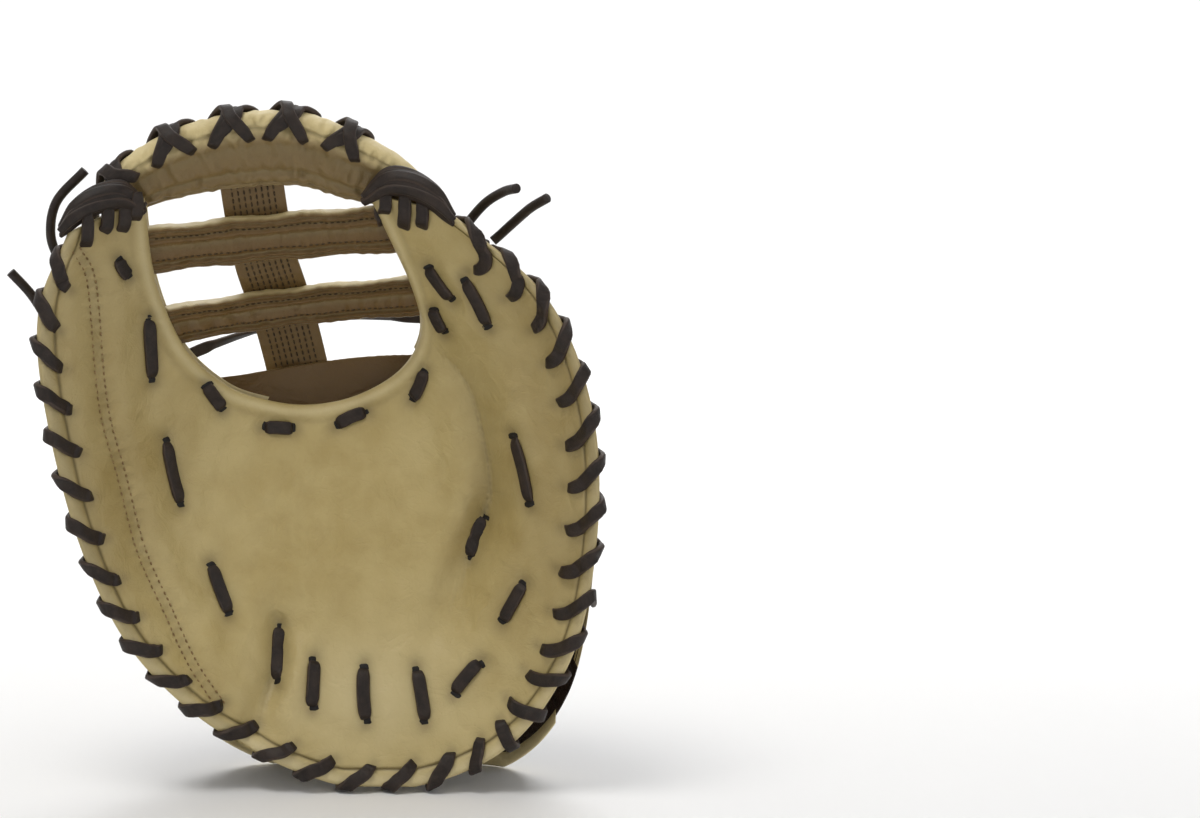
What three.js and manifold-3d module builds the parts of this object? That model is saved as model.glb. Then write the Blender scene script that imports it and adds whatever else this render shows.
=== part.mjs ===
// A first base mitt, standing on its heel. Millimetres, +Z up. The palm faces -Y,
// the thumb side is at -X and the finger side at +X. The origin is on the floor,
// under the middle of the mitt.
import * as THREE from "three";
import { mergeVertices } from "three/addons/utils/BufferGeometryUtils.js";
import Module from "manifold-3d";

const wasm = await Module();
wasm.setup();

// Thicknesses and clearances
const EDGE = 5; // the palm's leathers at its rim and at the edge of the web opening
const LEATHER = 3; // the back's leather with its lining
const CLEAR = 0.3; // the gap that touching pieces keep
const SEAM = 1.6; // the space between palm and back along the rim, which holds the lace's run
const MOUTH_GAP = 10; // the space behind the palm's inner edge, which holds the ends of the web
const FLOOR_RIM = 2.6; // height of the rim's underside where the heel stands on its lace
const FLOOR_BACK = 1.2; // height of the back's lower edge above its binding

// The mitt's sections run round it from the thumb's tip, down past the heel and up to the
// fingers' tip. Each goes from the outer rim to the mouth, the edge of the web opening.
// sink is the share of the depth reached half way in, pad the padding's thickness, hollow the
// room behind it for the hand, and open the width of the wrist opening at the rim.
const SECTION_COLUMNS = [
  "rimX", "rimZ", "rimY", "mouthX", "mouthZ", "mouthY", "sink", "pad", "hollow", "backX", "backZ", "open",
];
const SECTION_ROWS = [
  [-114, 258, -22, -80, 273, -12,  0.6,  8, 13, -114, 258,  0],
  [-127, 222, -29, -76, 237,  -2, 0.66, 12, 15, -127, 222,  0],
  [-123, 174, -33, -64, 205,   9, 0.68, 13, 17, -123, 174,  0],
  [-107, 112, -30, -45, 185,  22, 0.68, 15, 19, -107, 112,  0],
  [ -82,  62, -20, -27, 177,  31, 0.64, 18, 20,  -82,  57, 22],
  [ -37,  22, -11,  -8, 174,  35,  0.6, 20, 21,  -33,   8, 50],
  [  22,   1,  -9,  12, 177,  36, 0.58, 18, 21,   30,  -2, 55],
  [  78,  17, -13,  30, 186,  33,  0.6, 20, 22,   84,   3, 49],
  [ 110,  61, -27,  41, 198,  26, 0.66, 18, 24,  113,  46, 19],
  [ 122, 118, -37,  45, 213,  17,  0.7, 14, 24,  122, 118,  0],
  [ 120, 178, -40,  40, 232,   8,  0.7, 13, 22,  120, 178,  0],
  [ 100, 229, -34,  31, 252,  -1, 0.66, 12, 18,  100, 229,  0],
  [  57, 267, -22,  20, 275, -10,  0.6,  8, 13,   57, 267,  0],
];
const named = (columns, row) => Object.fromEntries(columns.map((name, i) => [name, row[i]]));
const SECTIONS = SECTION_ROWS.map((row) => named(SECTION_COLUMNS, row));
const LAST = SECTIONS.length - 1;

// The two creases that let the heel fold, each with its ends, and their depth and half width
const CREASES = [
  { x1: -19, z1: 72, x2: -37, z2: 26 },
  { x1: 76, z1: 126, x2: 54, z2: 74 },
];
const CREASE_DEPTH = 5;
const CREASE_WIDTH = 11;

// The brown leather's outline on the back, seen from the palm's side, and the seam through the
// finger hole that parts its finger stall from the leather over the hand
const BROWN_OUTLINE = [
  [-86, 204], [-96, 201], [-103, 190], [-104, 176], [-98, 151], [-87, 121], [-80, 100], [-90, 88],
  [-130, 80], [-130, -20], [140, -20], [140, 142], [108, 166], [97, 196], [76, 220], [60, 243],
  [62, 222], [67, 200],
  [64, 190], [50, 208], [10, 206], [-20, 206], [-50, 208], [-60, 188], [-72, 198],
];
const STALL_OUTLINE = [
  [60, 300], [57, 200], [56, 122], [42, 96], [28, 70], [24, -20], [150, -20], [150, 300],
];
const SEAM_GAP = 0.6; // the gap between two leathers that are sewn edge to edge

// The web: bars across the mouth, given by their ends and the way they bow to the back
const BAR_COLUMNS = ["name", "height", "thick", "bow", "leftX", "leftZ", "rightX", "rightZ"];
const BARS = [
  ["web_bar_upper", 22, 8, 19, -84, 248, 42, 259],
  ["web_bar_lower", 18, 8, 25, -73, 213, 50, 227],
].map((row) => named(BAR_COLUMNS, row));
const BAR_LEAN = 0.34; // how far a bar's top leans to the palm's side for each millimetre of height

// The rail along the top of the web, from the thumb's tip to the fingers' tip
const RAIL = [
  { x: -99, y: 1, z: 264, height: 20, thick: 8 },
  { x: -84, y: 2, z: 279, height: 27, thick: 10 },
  { x: -61, y: 4, z: 289, height: 34, thick: 12 },
  { x: -35, y: 6, z: 294, height: 37, thick: 12 },
  { x: -10, y: 6, z: 294, height: 36, thick: 12 },
  { x: 12, y: 4, z: 287, height: 33, thick: 12 },
  { x: 31, y: 2, z: 279, height: 27, thick: 10 },
  { x: 46, y: 1, z: 267, height: 20, thick: 8 },
];
const RAIL_LEAN = 0.5;

// The strap down the middle of the web, on the back of the bars
const CENTRE_STRAP = [
  { x: -35, y: 15.4, z: 292 },
  { x: -33, y: 17.6, z: 281 },
  { x: -31, y: 21.6, z: 267 },
  { x: -29, y: 26.6, z: 254 },
  { x: -26, y: 34, z: 240 },
  { x: -21, y: 43.4, z: 224 },
  { x: -16, y: 52.5, z: 206 },
  { x: -12, y: 59, z: 189 },
  { x: -9, y: 58.6, z: 176 },
  { x: -7, y: 58.8, z: 162 },
];
const CENTRE_STRAP_WIDTH = 29;
const CENTRE_STRAP_THICK = 4.5;

// The hood, the tan panel from the web's base down over the back of the hand: its outline seen
// from the palm's side, the strip of the back it is laid over, and its thickness
const HOOD_OUTLINE = [
  [-66, 185], [-66, 169], [-60, 152], [-50, 138], [-38, 128], [-23, 124], [0, 125], [22, 128], [38, 132],
  [50, 139], [60, 151], [69, 172], [70, 199], [20, 195], [-30, 188],
];
const HOOD = { from: 1, to: 10.5, low: 0.34, thick: 3.5 };

// Laces: one flat strip of rawhide everywhere
const LACE_WIDTH = 5.4;
const LACE_THICK = 2;
const EDGE_PITCH = 20.5; // distance between two stitches along the rim
const STITCH_IN = 12; // how far in from the rim the edge lace goes through the palm
const STITCH_SLANT = 11; // how far down the rim that hole lies from where the lace leaves the edge

// Short runs of lace on the palm, from hole to hole
const PALM_LACES = {
  heel_lace_1: [[-4, 60], [-5, 37]],
  heel_lace_2: [[19, 57], [20, 31]],
  heel_lace_3: [[43, 56], [47, 31]],
  palm_lace_1: [[-92, 246], [-87, 237]],
  palm_lace_2: [[-79, 219], [-78, 188]],
  palm_lace_3: [[-72, 162], [-65, 130]],
  palm_lace_4: [[-52, 104], [-43, 80]],
  palm_lace_5: [[-20, 74], [-21, 48]],
  palm_lace_6: [[-54, 186], [-46, 173]],
  palm_lace_7: [[-28, 164], [-13, 163]],
  palm_lace_8: [[6, 164], [21, 171]],
  palm_lace_9: [[41, 177], [47, 192]],
  palm_lace_10: [[56, 210], [50, 222]],
  palm_lace_11: [[59, 226], [47, 242]],
  palm_lace_12: [[75, 214], [63, 237]],
  palm_lace_13: [[86, 166], [94, 133]],
  palm_lace_14: [[75, 125], [68, 104]],
  palm_lace_15: [[92, 98], [82, 78]],
  palm_lace_16: [[73, 60], [60, 44]],
};

// Short runs of lace on the back and on the hood
const BACK_LACES = {
  back_lace_1: [[89, 228], [64, 238]],
  back_lace_2: [[104, 200], [110, 178]],
  back_lace_3: [[-108, 200], [-112, 176]],
};
const HOOD_LACES = {
  hood_lace_1: [[55, 166], [48, 147]],
  hood_lace_2: [[-53, 160], [-38, 147]],
};

// The two long laces that draw the back together, each with a knot on its way. Where a lace
// spans free of the back, its depth is given.
const PULL_LACES = [
  {
    name: "pull_lace_upper",
    path: [
      [80, 210], [60, 213], [36, 214, 49], [8, 213, 57], [-14, 210, 59],
      [-34, 206, 57], [-54, 200, 47], [-72, 192], [-88, 183],
    ],
    knot: [-14, 210, 60],
  },
  {
    name: "pull_lace_lower",
    path: [[86, 144], [58, 134], [28, 129], [4, 129], [-24, 131], [-52, 137], [-84, 148]],
    knot: [5, 129],
  },
];
const KNOT = { long: 14, tall: 9, thick: 5 };

// Knots near the two tips, each with a tail that hangs free
const TIP_KNOTS = [
  { name: "finger_knot_upper", x: 62, z: 256 },
  { name: "finger_knot_lower", x: 71, z: 247.5 },
  { name: "thumb_knot_upper", x: -111, z: 236 },
  { name: "thumb_knot_lower", x: -112, z: 208 },
];
const TAIL_PATHS = {
  finger_knot_upper: [[4, 0, 6], [10, -6, 13], [17, -15, 18], [22, -25, 20]],
  finger_knot_lower: [[6, 0, 5], [13, -5, 12], [20, -13, 19], [27, -21, 24]],
  thumb_knot_upper: [[-6, 0, 7], [-10, -1, 19], [-7, -2, 34], [6, -4, 48]],
  thumb_knot_lower: [[-7, 0, 5], [-13, -2, 13], [-19, -4, 22], [-27, -6, 31]],
};
const TIP_KNOT = { long: 9, tall: 8, thick: 5 };
const TAIL_RADIUS = 2.2;

// The finger hole in the back, a tall oval, and the laced ring round it
const FINGER_HOLE = { x: 42, z: 96, long: 29, wide: 12, turn: 0.5 };
const RING = [
  { out: 0.8, up: 0.4 },
  { out: 8.6, up: 0.4 },
  { out: 8, up: 2.8 },
  { out: 4.8, up: 4 },
  { out: 1.4, up: 2.8 },
];

// The strap over the back of the wrist, and the binding along the back's lower edge
const WRIST_STRAP = { left: -14, right: 92, low: 11, high: 42, endRadius: 14, thick: 2.6 };
const BINDING = { from: 4.7, to: 7.75, height: 5, thick: 1.4 };
const HEEL = { from: 4.1, to: 7.9, depth: 0.12, thick: 2.4 };

const lerp = THREE.MathUtils.lerp;
const clamp = THREE.MathUtils.clamp;
const steps = (from, to, count) => Array.from({ length: count + 1 }, (_, i) => lerp(from, to, i / count));
const vec = (x, y, z) => new THREE.Vector3(x, y, z);

// One value between four stations, on a curve that passes through the middle two
function through(p0, p1, p2, p3, t) {
  const a = 2 * p1;
  const b = p2 - p0;
  const c = 2 * p0 - 5 * p1 + 4 * p2 - p3;
  const d = 3 * p1 - p0 - 3 * p2 + p3;
  return (a + b * t + c * t * t + d * t * t * t) / 2;
}

// A row of values at a place between the rows of a table
function rowAt(table, place) {
  const last = table.length - 1;
  const i = clamp(Math.floor(place), 0, last - 1);
  const t = place - i;
  const row = {};
  for (const key of Object.keys(table[i])) {
    const p1 = table[i][key];
    const p2 = table[i + 1][key];
    const p0 = i > 0 ? table[i - 1][key] : 2 * p1 - p2;
    const p3 = i + 2 <= last ? table[i + 2][key] : 2 * p2 - p1;
    row[key] = through(p0, p1, p2, p3, t);
  }
  return row;
}

// A section of the mitt at u, with the heel flattened where it stands
function section(u) {
  const row = rowAt(SECTIONS, u);
  row.rimZ = Math.max(row.rimZ, FLOOR_RIM);
  row.backZ = Math.max(row.backZ, FLOOR_BACK + LEATHER);
  row.open = Math.max(row.open, 0);
  return row;
}

// The grid that the palm and the back are made on
const ACROSS = [0, 0.05, 0.18, 0.36, 0.56, 0.76, 0.92, 1];
const ROUND = steps(0, LAST, 3 * LAST);

const smooth = (t) => t * t * (3 - 2 * t);
const bulge = (v, skew) => Math.sin(Math.PI * clamp(v, 0, 1) ** skew) ** 2;

// How far the heel's creases push the palm in at a point
function creaseDepth(x, z) {
  let depth = 0;
  for (const c of CREASES) {
    const dx = c.x2 - c.x1;
    const dz = c.z2 - c.z1;
    const t = clamp(((x - c.x1) * dx + (z - c.z1) * dz) / (dx * dx + dz * dz), 0, 1);
    const away = Math.hypot(x - c.x1 - t * dx, z - c.z1 - t * dz);
    depth += CREASE_DEPTH * Math.exp(-((away / CREASE_WIDTH) ** 2));
  }
  return depth;
}

// The palm's catching face: v runs from the rim, 0, to the mouth, 1
function palmFront(u, v) {
  const s = section(u);
  const x = lerp(s.rimX, s.mouthX, v);
  const z = lerp(s.rimZ, s.mouthZ, v);
  const sunk = (4 * s.sink - 1) * v + (2 - 4 * s.sink) * v * v;
  return vec(x, lerp(s.rimY, s.mouthY, sunk) + creaseDepth(x, z), z);
}

// The palm's inner face, behind its padding
function palmBack(u, v) {
  const p = palmFront(u, v);
  p.y += EDGE + (section(u).pad - EDGE) * bulge(v, 0.6) - 0.6 * creaseDepth(p.x, p.z);
  return p;
}

// The back's inner face, which leaves room for the hand
function backInner(u, v) {
  const s = section(u);
  const gap = SEAM + (MOUTH_GAP - SEAM) * smooth(clamp(v, 0, 1)) + s.open * (1 - clamp(v, 0, 1)) ** 2;
  const y = palmBack(u, v).y + gap + s.hollow * bulge(v, 1.25);
  return vec(lerp(s.backX, s.mouthX, v), y, lerp(s.backZ, s.mouthZ, v));
}

function backOuter(u, v) {
  const p = backInner(u, v);
  p.y += LEATHER;
  return p;
}

// The u and v of a face at a point seen from the front: the section line that passes through it
const REACH = { low: -0.3, high: 1.6 }; // how far off its two ends a section line is followed
const HALVINGS = 20;
function locate(face, x, z) {
  const side = (u) => {
    const a = face(u, 0);
    const b = face(u, 1);
    return (b.x - a.x) * (z - a.z) - (b.z - a.z) * (x - a.x);
  };
  const along = (u) => {
    const a = face(u, 0);
    const b = face(u, 1);
    return ((x - a.x) * (b.x - a.x) + (z - a.z) * (b.z - a.z)) / ((b.x - a.x) ** 2 + (b.z - a.z) ** 2);
  };
  for (let i = 0; i + 1 < ROUND.length; i++) {
    let low = ROUND[i];
    let high = ROUND[i + 1];
    const start = Math.sign(side(low));
    const near = along(low) > REACH.low && along(low) < REACH.high;
    if (start === Math.sign(side(high)) || !near) continue;
    for (let k = 0; k < HALVINGS; k++) {
      const mid = (low + high) / 2;
      if (Math.sign(side(mid)) === start) low = mid;
      else high = mid;
    }
    return { u: low, v: along(low) };
  }
  throw new Error(`no section passes through ${x}, ${z}`);
}

// The depth of a face between the four nearest points of the grid that the sheets are made on
function gridY(face, u, v) {
  const i = clamp(ROUND.findLastIndex((value) => value <= u), 0, ROUND.length - 2);
  const j = clamp(ACROSS.findLastIndex((value) => value <= v), 0, ACROSS.length - 2);
  const s = (u - ROUND[i]) / (ROUND[i + 1] - ROUND[i]);
  const t = (v - ACROSS[j]) / (ACROSS[j + 1] - ACROSS[j]);
  const near = lerp(face(ROUND[i], ACROSS[j]).y, face(ROUND[i], ACROSS[j + 1]).y, t);
  const far = lerp(face(ROUND[i + 1], ACROSS[j]).y, face(ROUND[i + 1], ACROSS[j + 1]).y, t);
  return lerp(near, far, s);
}

// A face's point and outward normal at a place seen from the front. facing is -1 for the palm.
function onFace(face, x, z, facing) {
  const step = 1.5;
  const at = (dx, dz) => {
    const { u, v } = locate(face, x + dx, z + dz);
    return gridY(face, u, v);
  };
  const y = at(0, 0);
  const slopeX = (at(step, 0) - at(-step, 0)) / (2 * step);
  const slopeZ = (at(0, step) - at(0, -step)) / (2 * step);
  const normal = vec(-slopeX, 1, -slopeZ).normalize().multiplyScalar(facing);
  return { point: vec(x, y, z), normal };
}

function geometryOf(points, faces) {
  const made = new THREE.BufferGeometry();
  made.setAttribute("position", new THREE.Float32BufferAttribute(points.flatMap((p) => [p.x, p.y, p.z]), 3));
  made.setIndex(faces.flat());
  return made;
}

// A closed body through rings of points, all with the same count, capped at both ends
function loft(rings) {
  const n = rings[0].length;
  const points = rings.flat();
  const faces = [];
  for (let i = 0; i + 1 < rings.length; i++) {
    for (let j = 0; j < n; j++) {
      const a = i * n + j;
      const b = i * n + ((j + 1) % n);
      faces.push([a, b, b + n], [a, b + n, a + n]);
    }
  }
  const end = (rings.length - 1) * n;
  for (let j = 1; j + 1 < n; j++) {
    faces.push([0, j + 1, j], [end, end + j, end + j + 1]);
  }
  return facingOut(geometryOf(points, faces));
}

// A closed body through rings of points, the last joined to the first
function closedLoft(rings) {
  const n = rings[0].length;
  const points = rings.flat();
  const faces = [];
  for (let i = 0; i < rings.length; i++) {
    const next = (i + 1) % rings.length;
    for (let j = 0; j < n; j++) {
      const k = (j + 1) % n;
      const [a, b, c, d] = [i * n + j, i * n + k, next * n + k, next * n + j];
      faces.push([a, b, c], [a, c, d]);
    }
  }
  return facingOut(geometryOf(points, faces));
}

function volumeOf(geometry) {
  const p = geometry.getAttribute("position");
  const index = geometry.index.array;
  let sum = 0;
  const [a, b, c] = [vec(), vec(), vec()];
  for (let i = 0; i < index.length; i += 3) {
    a.fromBufferAttribute(p, index[i]);
    b.fromBufferAttribute(p, index[i + 1]);
    c.fromBufferAttribute(p, index[i + 2]);
    sum += a.dot(b.cross(c)) / 6;
  }
  return sum;
}

function facingOut(geometry) {
  if (volumeOf(geometry) < 0) {
    const index = geometry.index.array;
    for (let i = 0; i < index.length; i += 3) {
      [index[i + 1], index[i + 2]] = [index[i + 2], index[i + 1]];
    }
  }
  return geometry;
}

// A closed body between two faces over a grid of u and v. low and high give v's ends at each u.
function sheet(near, far, us, vs, low = () => 0, high = () => 1) {
  const rings = us.map((u) => {
    const at = (face, t) => face(u, lerp(low(u), high(u), t));
    return [...vs.map((t) => at(near, t)), ...vs.toReversed().map((t) => at(far, t))];
  });
  const n = rings[0].length;
  const points = rings.flat();
  const faces = [];
  for (let i = 0; i + 1 < rings.length; i++) {
    for (let j = 0; j < n; j++) {
      const a = i * n + j;
      const b = i * n + ((j + 1) % n);
      faces.push([a, b, b + n], [a, b + n, a + n]);
    }
  }
  const end = (rings.length - 1) * n;
  for (let j = 0; j + 1 < vs.length; j++) {
    const k = n - 1 - j;
    faces.push([j, k, k - 1], [j, k - 1, j + 1]);
    faces.push([end + j, end + j + 1, end + k - 1], [end + j, end + k - 1, end + k]);
  }
  return facingOut(geometryOf(points, faces));
}

// A flat strip whose inner face follows the points, thickening along their normals
function strip(points, normals, width = LACE_WIDTH, thick = LACE_THICK) {
  const rings = points.map((p, i) => {
    const before = points[Math.max(i - 1, 0)];
    const after = points[Math.min(i + 1, points.length - 1)];
    const across = after.clone().sub(before).cross(normals[i]).normalize().multiplyScalar(width / 2);
    const up = normals[i].clone().multiplyScalar(thick);
    return [
      p.clone().sub(across),
      p.clone().add(across),
      p.clone().add(across).add(up),
      p.clone().sub(across).add(up),
    ];
  });
  return loft(rings);
}

// A padded bar: rounded sections along a path, tall along its lean and thin across
function paddedBar(stations, lean) {
  const corners = 10;
  const up = vec(0, -lean, 1).normalize();
  const rings = stations.map((s, i) => {
    const before = stations[Math.max(i - 1, 0)];
    const after = stations[Math.min(i + 1, stations.length - 1)];
    const along = vec(after.x - before.x, after.y - before.y, after.z - before.z).normalize();
    const tall = up.clone().addScaledVector(along, -up.dot(along)).normalize();
    const thin = along.clone().cross(tall).normalize();
    return Array.from({ length: corners }, (_, k) => {
      const angle = (2 * Math.PI * k) / corners;
      const c = Math.cos(angle);
      const sn = Math.sin(angle);
      const a = (Math.sign(c) * Math.abs(c) ** 0.6 * s.height) / 2;
      const b = (Math.sign(sn) * Math.abs(sn) ** 0.75 * s.thick) / 2;
      return vec(s.x, s.y, s.z).addScaledVector(tall, a).addScaledVector(thin, b);
    });
  });
  return loft(rings);
}

function solid(geometry) {
  const bare = new THREE.BufferGeometry();
  bare.setAttribute("position", geometry.getAttribute("position"));
  bare.setIndex(geometry.index);
  const merged = mergeVertices(bare, 1e-4);
  return new wasm.Manifold(
    new wasm.Mesh({
      numProp: 3,
      vertProperties: new Float32Array(merged.attributes.position.array),
      triVerts: new Uint32Array(merged.index.array),
    }),
  );
}

function geometryFrom(manifold) {
  const mesh = manifold.getMesh();
  const made = new THREE.BufferGeometry();
  made.setAttribute("position", new THREE.Float32BufferAttribute(mesh.vertProperties, 3));
  made.setIndex(Array.from(mesh.triVerts));
  return made;
}

function largest(manifold) {
  return manifold.decompose().reduce((a, b) => (a.volume() > b.volume() ? a : b));
}

// An outline moved outward by a distance, each corner along its two sides' mean normal
function grown(outline, by) {
  return outline.map(([x, z], i) => {
    const [px, pz] = outline.at(i - 1);
    const [nx, nz] = outline[(i + 1) % outline.length];
    const before = vec(z - pz, 0, px - x).normalize();
    const after = vec(nz - z, 0, x - nx).normalize();
    const out = before.clone().add(after).normalize();
    const reach = by / Math.max(out.dot(after), 0.4);
    return [x + out.x * reach, z + out.z * reach];
  });
}

function areaSign(outline) {
  return Math.sign(outline.reduce((sum, [x, z], i) => {
    const [nx, nz] = outline[(i + 1) % outline.length];
    return sum + x * nz - nx * z;
  }, 0));
}

// A prism through the whole mitt, front to back, over an outline of x and z
function prism(outline) {
  const shape = new THREE.Shape(outline.map(([x, z]) => new THREE.Vector2(x, z)));
  const made = new THREE.ExtrudeGeometry(shape, { depth: 400, bevelEnabled: false });
  made.translate(0, 0, -200);
  made.rotateX(Math.PI / 2);
  return solid(mergedBare(made));
}

function mergedBare(geometry) {
  const bare = new THREE.BufferGeometry();
  bare.setAttribute("position", geometry.getAttribute("position"));
  if (geometry.index) bare.setIndex(geometry.index);
  return mergeVertices(bare, 1e-4);
}

// Materials
const leather = (color, roughness) => new THREE.MeshStandardMaterial({ color, roughness, metalness: 0 });
const TAN = leather(0xc9b684, 0.55);
const BROWN = leather(0x2e2622, 0.45);
const RAWHIDE = leather(0x2c2320, 0.5);

const mitt = new THREE.Group();
function add(name, geometry, material) {
  const mesh = new THREE.Mesh(geometry, material);
  mesh.name = name;
  mitt.add(mesh);
}

// Palm
add("palm_pad", sheet(palmFront, palmBack, ROUND, ACROSS), TAN);

// Back: one shell, cut into the brown part and the two tan bands, with the finger hole
function holeAt(angle, extra) {
  const h = FINGER_HOLE;
  const p = (h.long + extra) * Math.cos(angle);
  const q = (h.wide + extra) * Math.sin(angle);
  const [sin, cos] = [Math.sin(h.turn), Math.cos(h.turn)];
  return [h.x + p * sin + q * cos, h.z + p * cos - q * sin];
}
const holeOutline = steps(0, 2 * Math.PI, 16).slice(0, -1).map((a) => holeAt(a, 0));
const widened = (outline, by) => grown(outline, areaSign(outline) * by);
const backShell = solid(sheet(backInner, backOuter, ROUND, ACROSS));
const brown = backShell.intersect(prism(BROWN_OUTLINE)).subtract(prism(holeOutline));
const tanParts = backShell.subtract(prism(widened(BROWN_OUTLINE, SEAM_GAP))).decompose();
const SCRAP = 500; // volume below which a cut-off piece is dropped
const bands = tanParts.filter((m) => m.volume() > SCRAP);
bands.sort((a, b) => a.boundingBox().min[0] - b.boundingBox().min[0]);
const handPart = brown.subtract(prism(widened(STALL_OUTLINE, SEAM_GAP)));
const stallPart = brown.intersect(prism(STALL_OUTLINE));
add("back_hand_shell", geometryFrom(largest(handPart)), BROWN);
add("back_finger_stall", geometryFrom(largest(stallPart)), BROWN);
add("back_thumb_band", geometryFrom(bands[0]), TAN);
add("back_finger_band", geometryFrom(bands.at(-1)), TAN);

// Heel binding: the lining's edge behind the palm's padding, where the hand goes in
const moved = (face, y) => (u, v) => face(u, v).add(vec(0, y, 0));
function heelSheet(extra) {
  const near = moved(palmBack, SEAM - extra);
  const far = moved(palmBack, SEAM + HEEL.thick + extra);
  return sheet(near, far, steps(HEEL.from, HEEL.to, 16), [0, 0.35, 1], () => 0, () => HEEL.depth);
}
add("heel_binding", heelSheet(0), TAN);

// What the web's pieces keep clear of: the palm and the back, each grown by the clearance
const NEAR_MOUTH = [...ACROSS.filter((v) => v > 0.5), 1.06];
const WEB_ROOM = 60; // how far behind the back's inner face the web's pieces may not reach
const palmZone = solid(sheet(moved(palmFront, -2 * CLEAR), moved(palmBack, 2 * CLEAR), ROUND, NEAR_MOUTH));
const backZone = solid(sheet(moved(backInner, -2 * CLEAR), moved(backOuter, WEB_ROOM), ROUND, NEAR_MOUTH));
function trimmed(geometry, ...zones) {
  let left = solid(geometry);
  for (const zone of [palmZone, backZone, ...zones]) {
    left = largest(left.subtract(zone));
  }
  return geometryFrom(left);
}

// Web bars
const fatter = (station, by) => ({ ...station, height: station.height + by, thick: station.thick + by });
function barBody(bar, extra = 0) {
  const depthAt = (x, z) => {
    const at = locate(palmBack, x, z);
    return palmBack(at.u, at.v).y + bar.thick / 2 + 1;
  };
  const [left, right] = [depthAt(bar.leftX, bar.leftZ), depthAt(bar.rightX, bar.rightZ)];
  const stations = steps(0, 1, 12).map((t) => ({
    x: lerp(bar.leftX, bar.rightX, t),
    y: lerp(left, right, t) + bar.bow * Math.sin(Math.PI * t),
    z: lerp(bar.leftZ, bar.rightZ, t),
    height: bar.height + extra,
    thick: bar.thick + extra,
  }));
  return paddedBar(stations, BAR_LEAN);
}
for (const bar of BARS) {
  add(bar.name, trimmed(barBody(bar)), TAN);
}

// Rail along the top of the web
const RAIL_STATIONS = steps(0, RAIL.length - 1, 2 * (RAIL.length - 1)).map((p) => rowAt(RAIL, p));
const BEYOND = 0.015; // how far past the tips, in sections, the rail keeps clear of them
const tipUs = [-BEYOND, ...ROUND.slice(1, -1), LAST + BEYOND];
const tipNear = moved(palmFront, -2 * CLEAR);
const tipFar = moved(backOuter, 2 * CLEAR);
const tipZone = solid(sheet(tipNear, tipFar, tipUs, steps(-0.03, 1.03, 8)));
const rail = largest(solid(paddedBar(RAIL_STATIONS, RAIL_LEAN)).subtract(tipZone));
add("web_top_rail", geometryFrom(rail), TAN);

// Hood: a sheet laid over the back, cut to its outline
const shellZone = solid(sheet(backInner, moved(backOuter, CLEAR), ROUND, ACROSS));
const hoodUs = ROUND.filter((u) => u >= HOOD.from && u <= HOOD.to);
const hoodVs = [...ACROSS.filter((v) => v > HOOD.low), 1.1, 1.2];
const HOOD_OFF = CLEAR + 0.2; // the gap between the back and the hood
const hoodNear = moved(backOuter, HOOD_OFF);
const hoodFar = moved(backOuter, HOOD_OFF + HOOD.thick);
const hoodSheet = solid(sheet(hoodNear, hoodFar, hoodUs, hoodVs));
const hood = largest(hoodSheet.intersect(prism(HOOD_OUTLINE)));
const hoodKeep = solid(sheet(backOuter, moved(hoodFar, CLEAR), hoodUs, hoodVs)).intersect(
  prism(widened(HOOD_OUTLINE, CLEAR)),
);

// Strap down the middle of the web
function strapNormals(path) {
  return path.map((p, i) => {
    const along = path[Math.min(i + 1, path.length - 1)].clone().sub(path[Math.max(i - 1, 0)]);
    return vec(0, -along.z, along.y).normalize();
  });
}
const fatBars = BARS.map((bar) => solid(barBody(bar, 2 * CLEAR)));
const fatRail = solid(paddedBar(RAIL_STATIONS.map((r) => fatter(r, 2 * CLEAR)), RAIL_LEAN));
function makeCentreStrap() {
  const path = CENTRE_STRAP.map((p) => vec(p.x, p.y, p.z));
  let strap = solid(strip(path, strapNormals(path), CENTRE_STRAP_WIDTH, CENTRE_STRAP_THICK));
  for (const zone of [...fatBars, fatRail, shellZone]) {
    strap = largest(strap.subtract(zone));
  }
  return strap;
}
const centreStrap = makeCentreStrap();
add("web_centre_strap", geometryFrom(centreStrap), TAN);

const fatStrapPath = CENTRE_STRAP.map((p) => vec(p.x, p.y - CLEAR, p.z));
const fatStrapWidth = CENTRE_STRAP_WIDTH + 2 * CLEAR;
const fatStrapThick = CENTRE_STRAP_THICK + 2 * CLEAR;
const fatStrap = solid(strip(fatStrapPath, strapNormals(fatStrapPath), fatStrapWidth, fatStrapThick));
add("web_hood", geometryFrom(largest(hood.subtract(fatStrap))), TAN);

// A face's outward normal at u and v
function faceNormal(face, u, v, facing) {
  const [du, dv] = [0.05, 0.02];
  const along = face(u + du, v).sub(face(u - du, v));
  const inward = face(u, v + dv).sub(face(u, v - dv));
  const normal = along.cross(inward).normalize();
  return normal.multiplyScalar(Math.sign(normal.y) * facing);
}

// Edge lace: flat stitches over the rim, joined by a run of lace in the seam below them
const RIM_STEPS = 400;
const rimPoints = steps(0, LAST, RIM_STEPS).map((u) => {
  const s = section(u);
  return { u, x: s.rimX, z: s.rimZ };
});
function stitchPlaces() {
  const places = [];
  let run = EDGE_PITCH / 2;
  for (let i = 1; i < rimPoints.length; i++) {
    run += Math.hypot(rimPoints[i].x - rimPoints[i - 1].x, rimPoints[i].z - rimPoints[i - 1].z);
    if (run >= EDGE_PITCH) {
      run -= EDGE_PITCH;
      places.push(rimPoints[i].u);
    }
  }
  return places;
}
const ZIGZAG = 7.5; // where the stitches' slant turns
const acrossAt = (u) => {
  const s = section(u);
  return Math.hypot(s.mouthX - s.rimX, s.mouthZ - s.rimZ);
};
const outward = (u) => {
  const to = section(Math.min(u + 0.05, LAST));
  const from = section(Math.max(u - 0.05, 0));
  return vec(to.rimZ - from.rimZ, 0, from.rimX - to.rimX).normalize();
};
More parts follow.
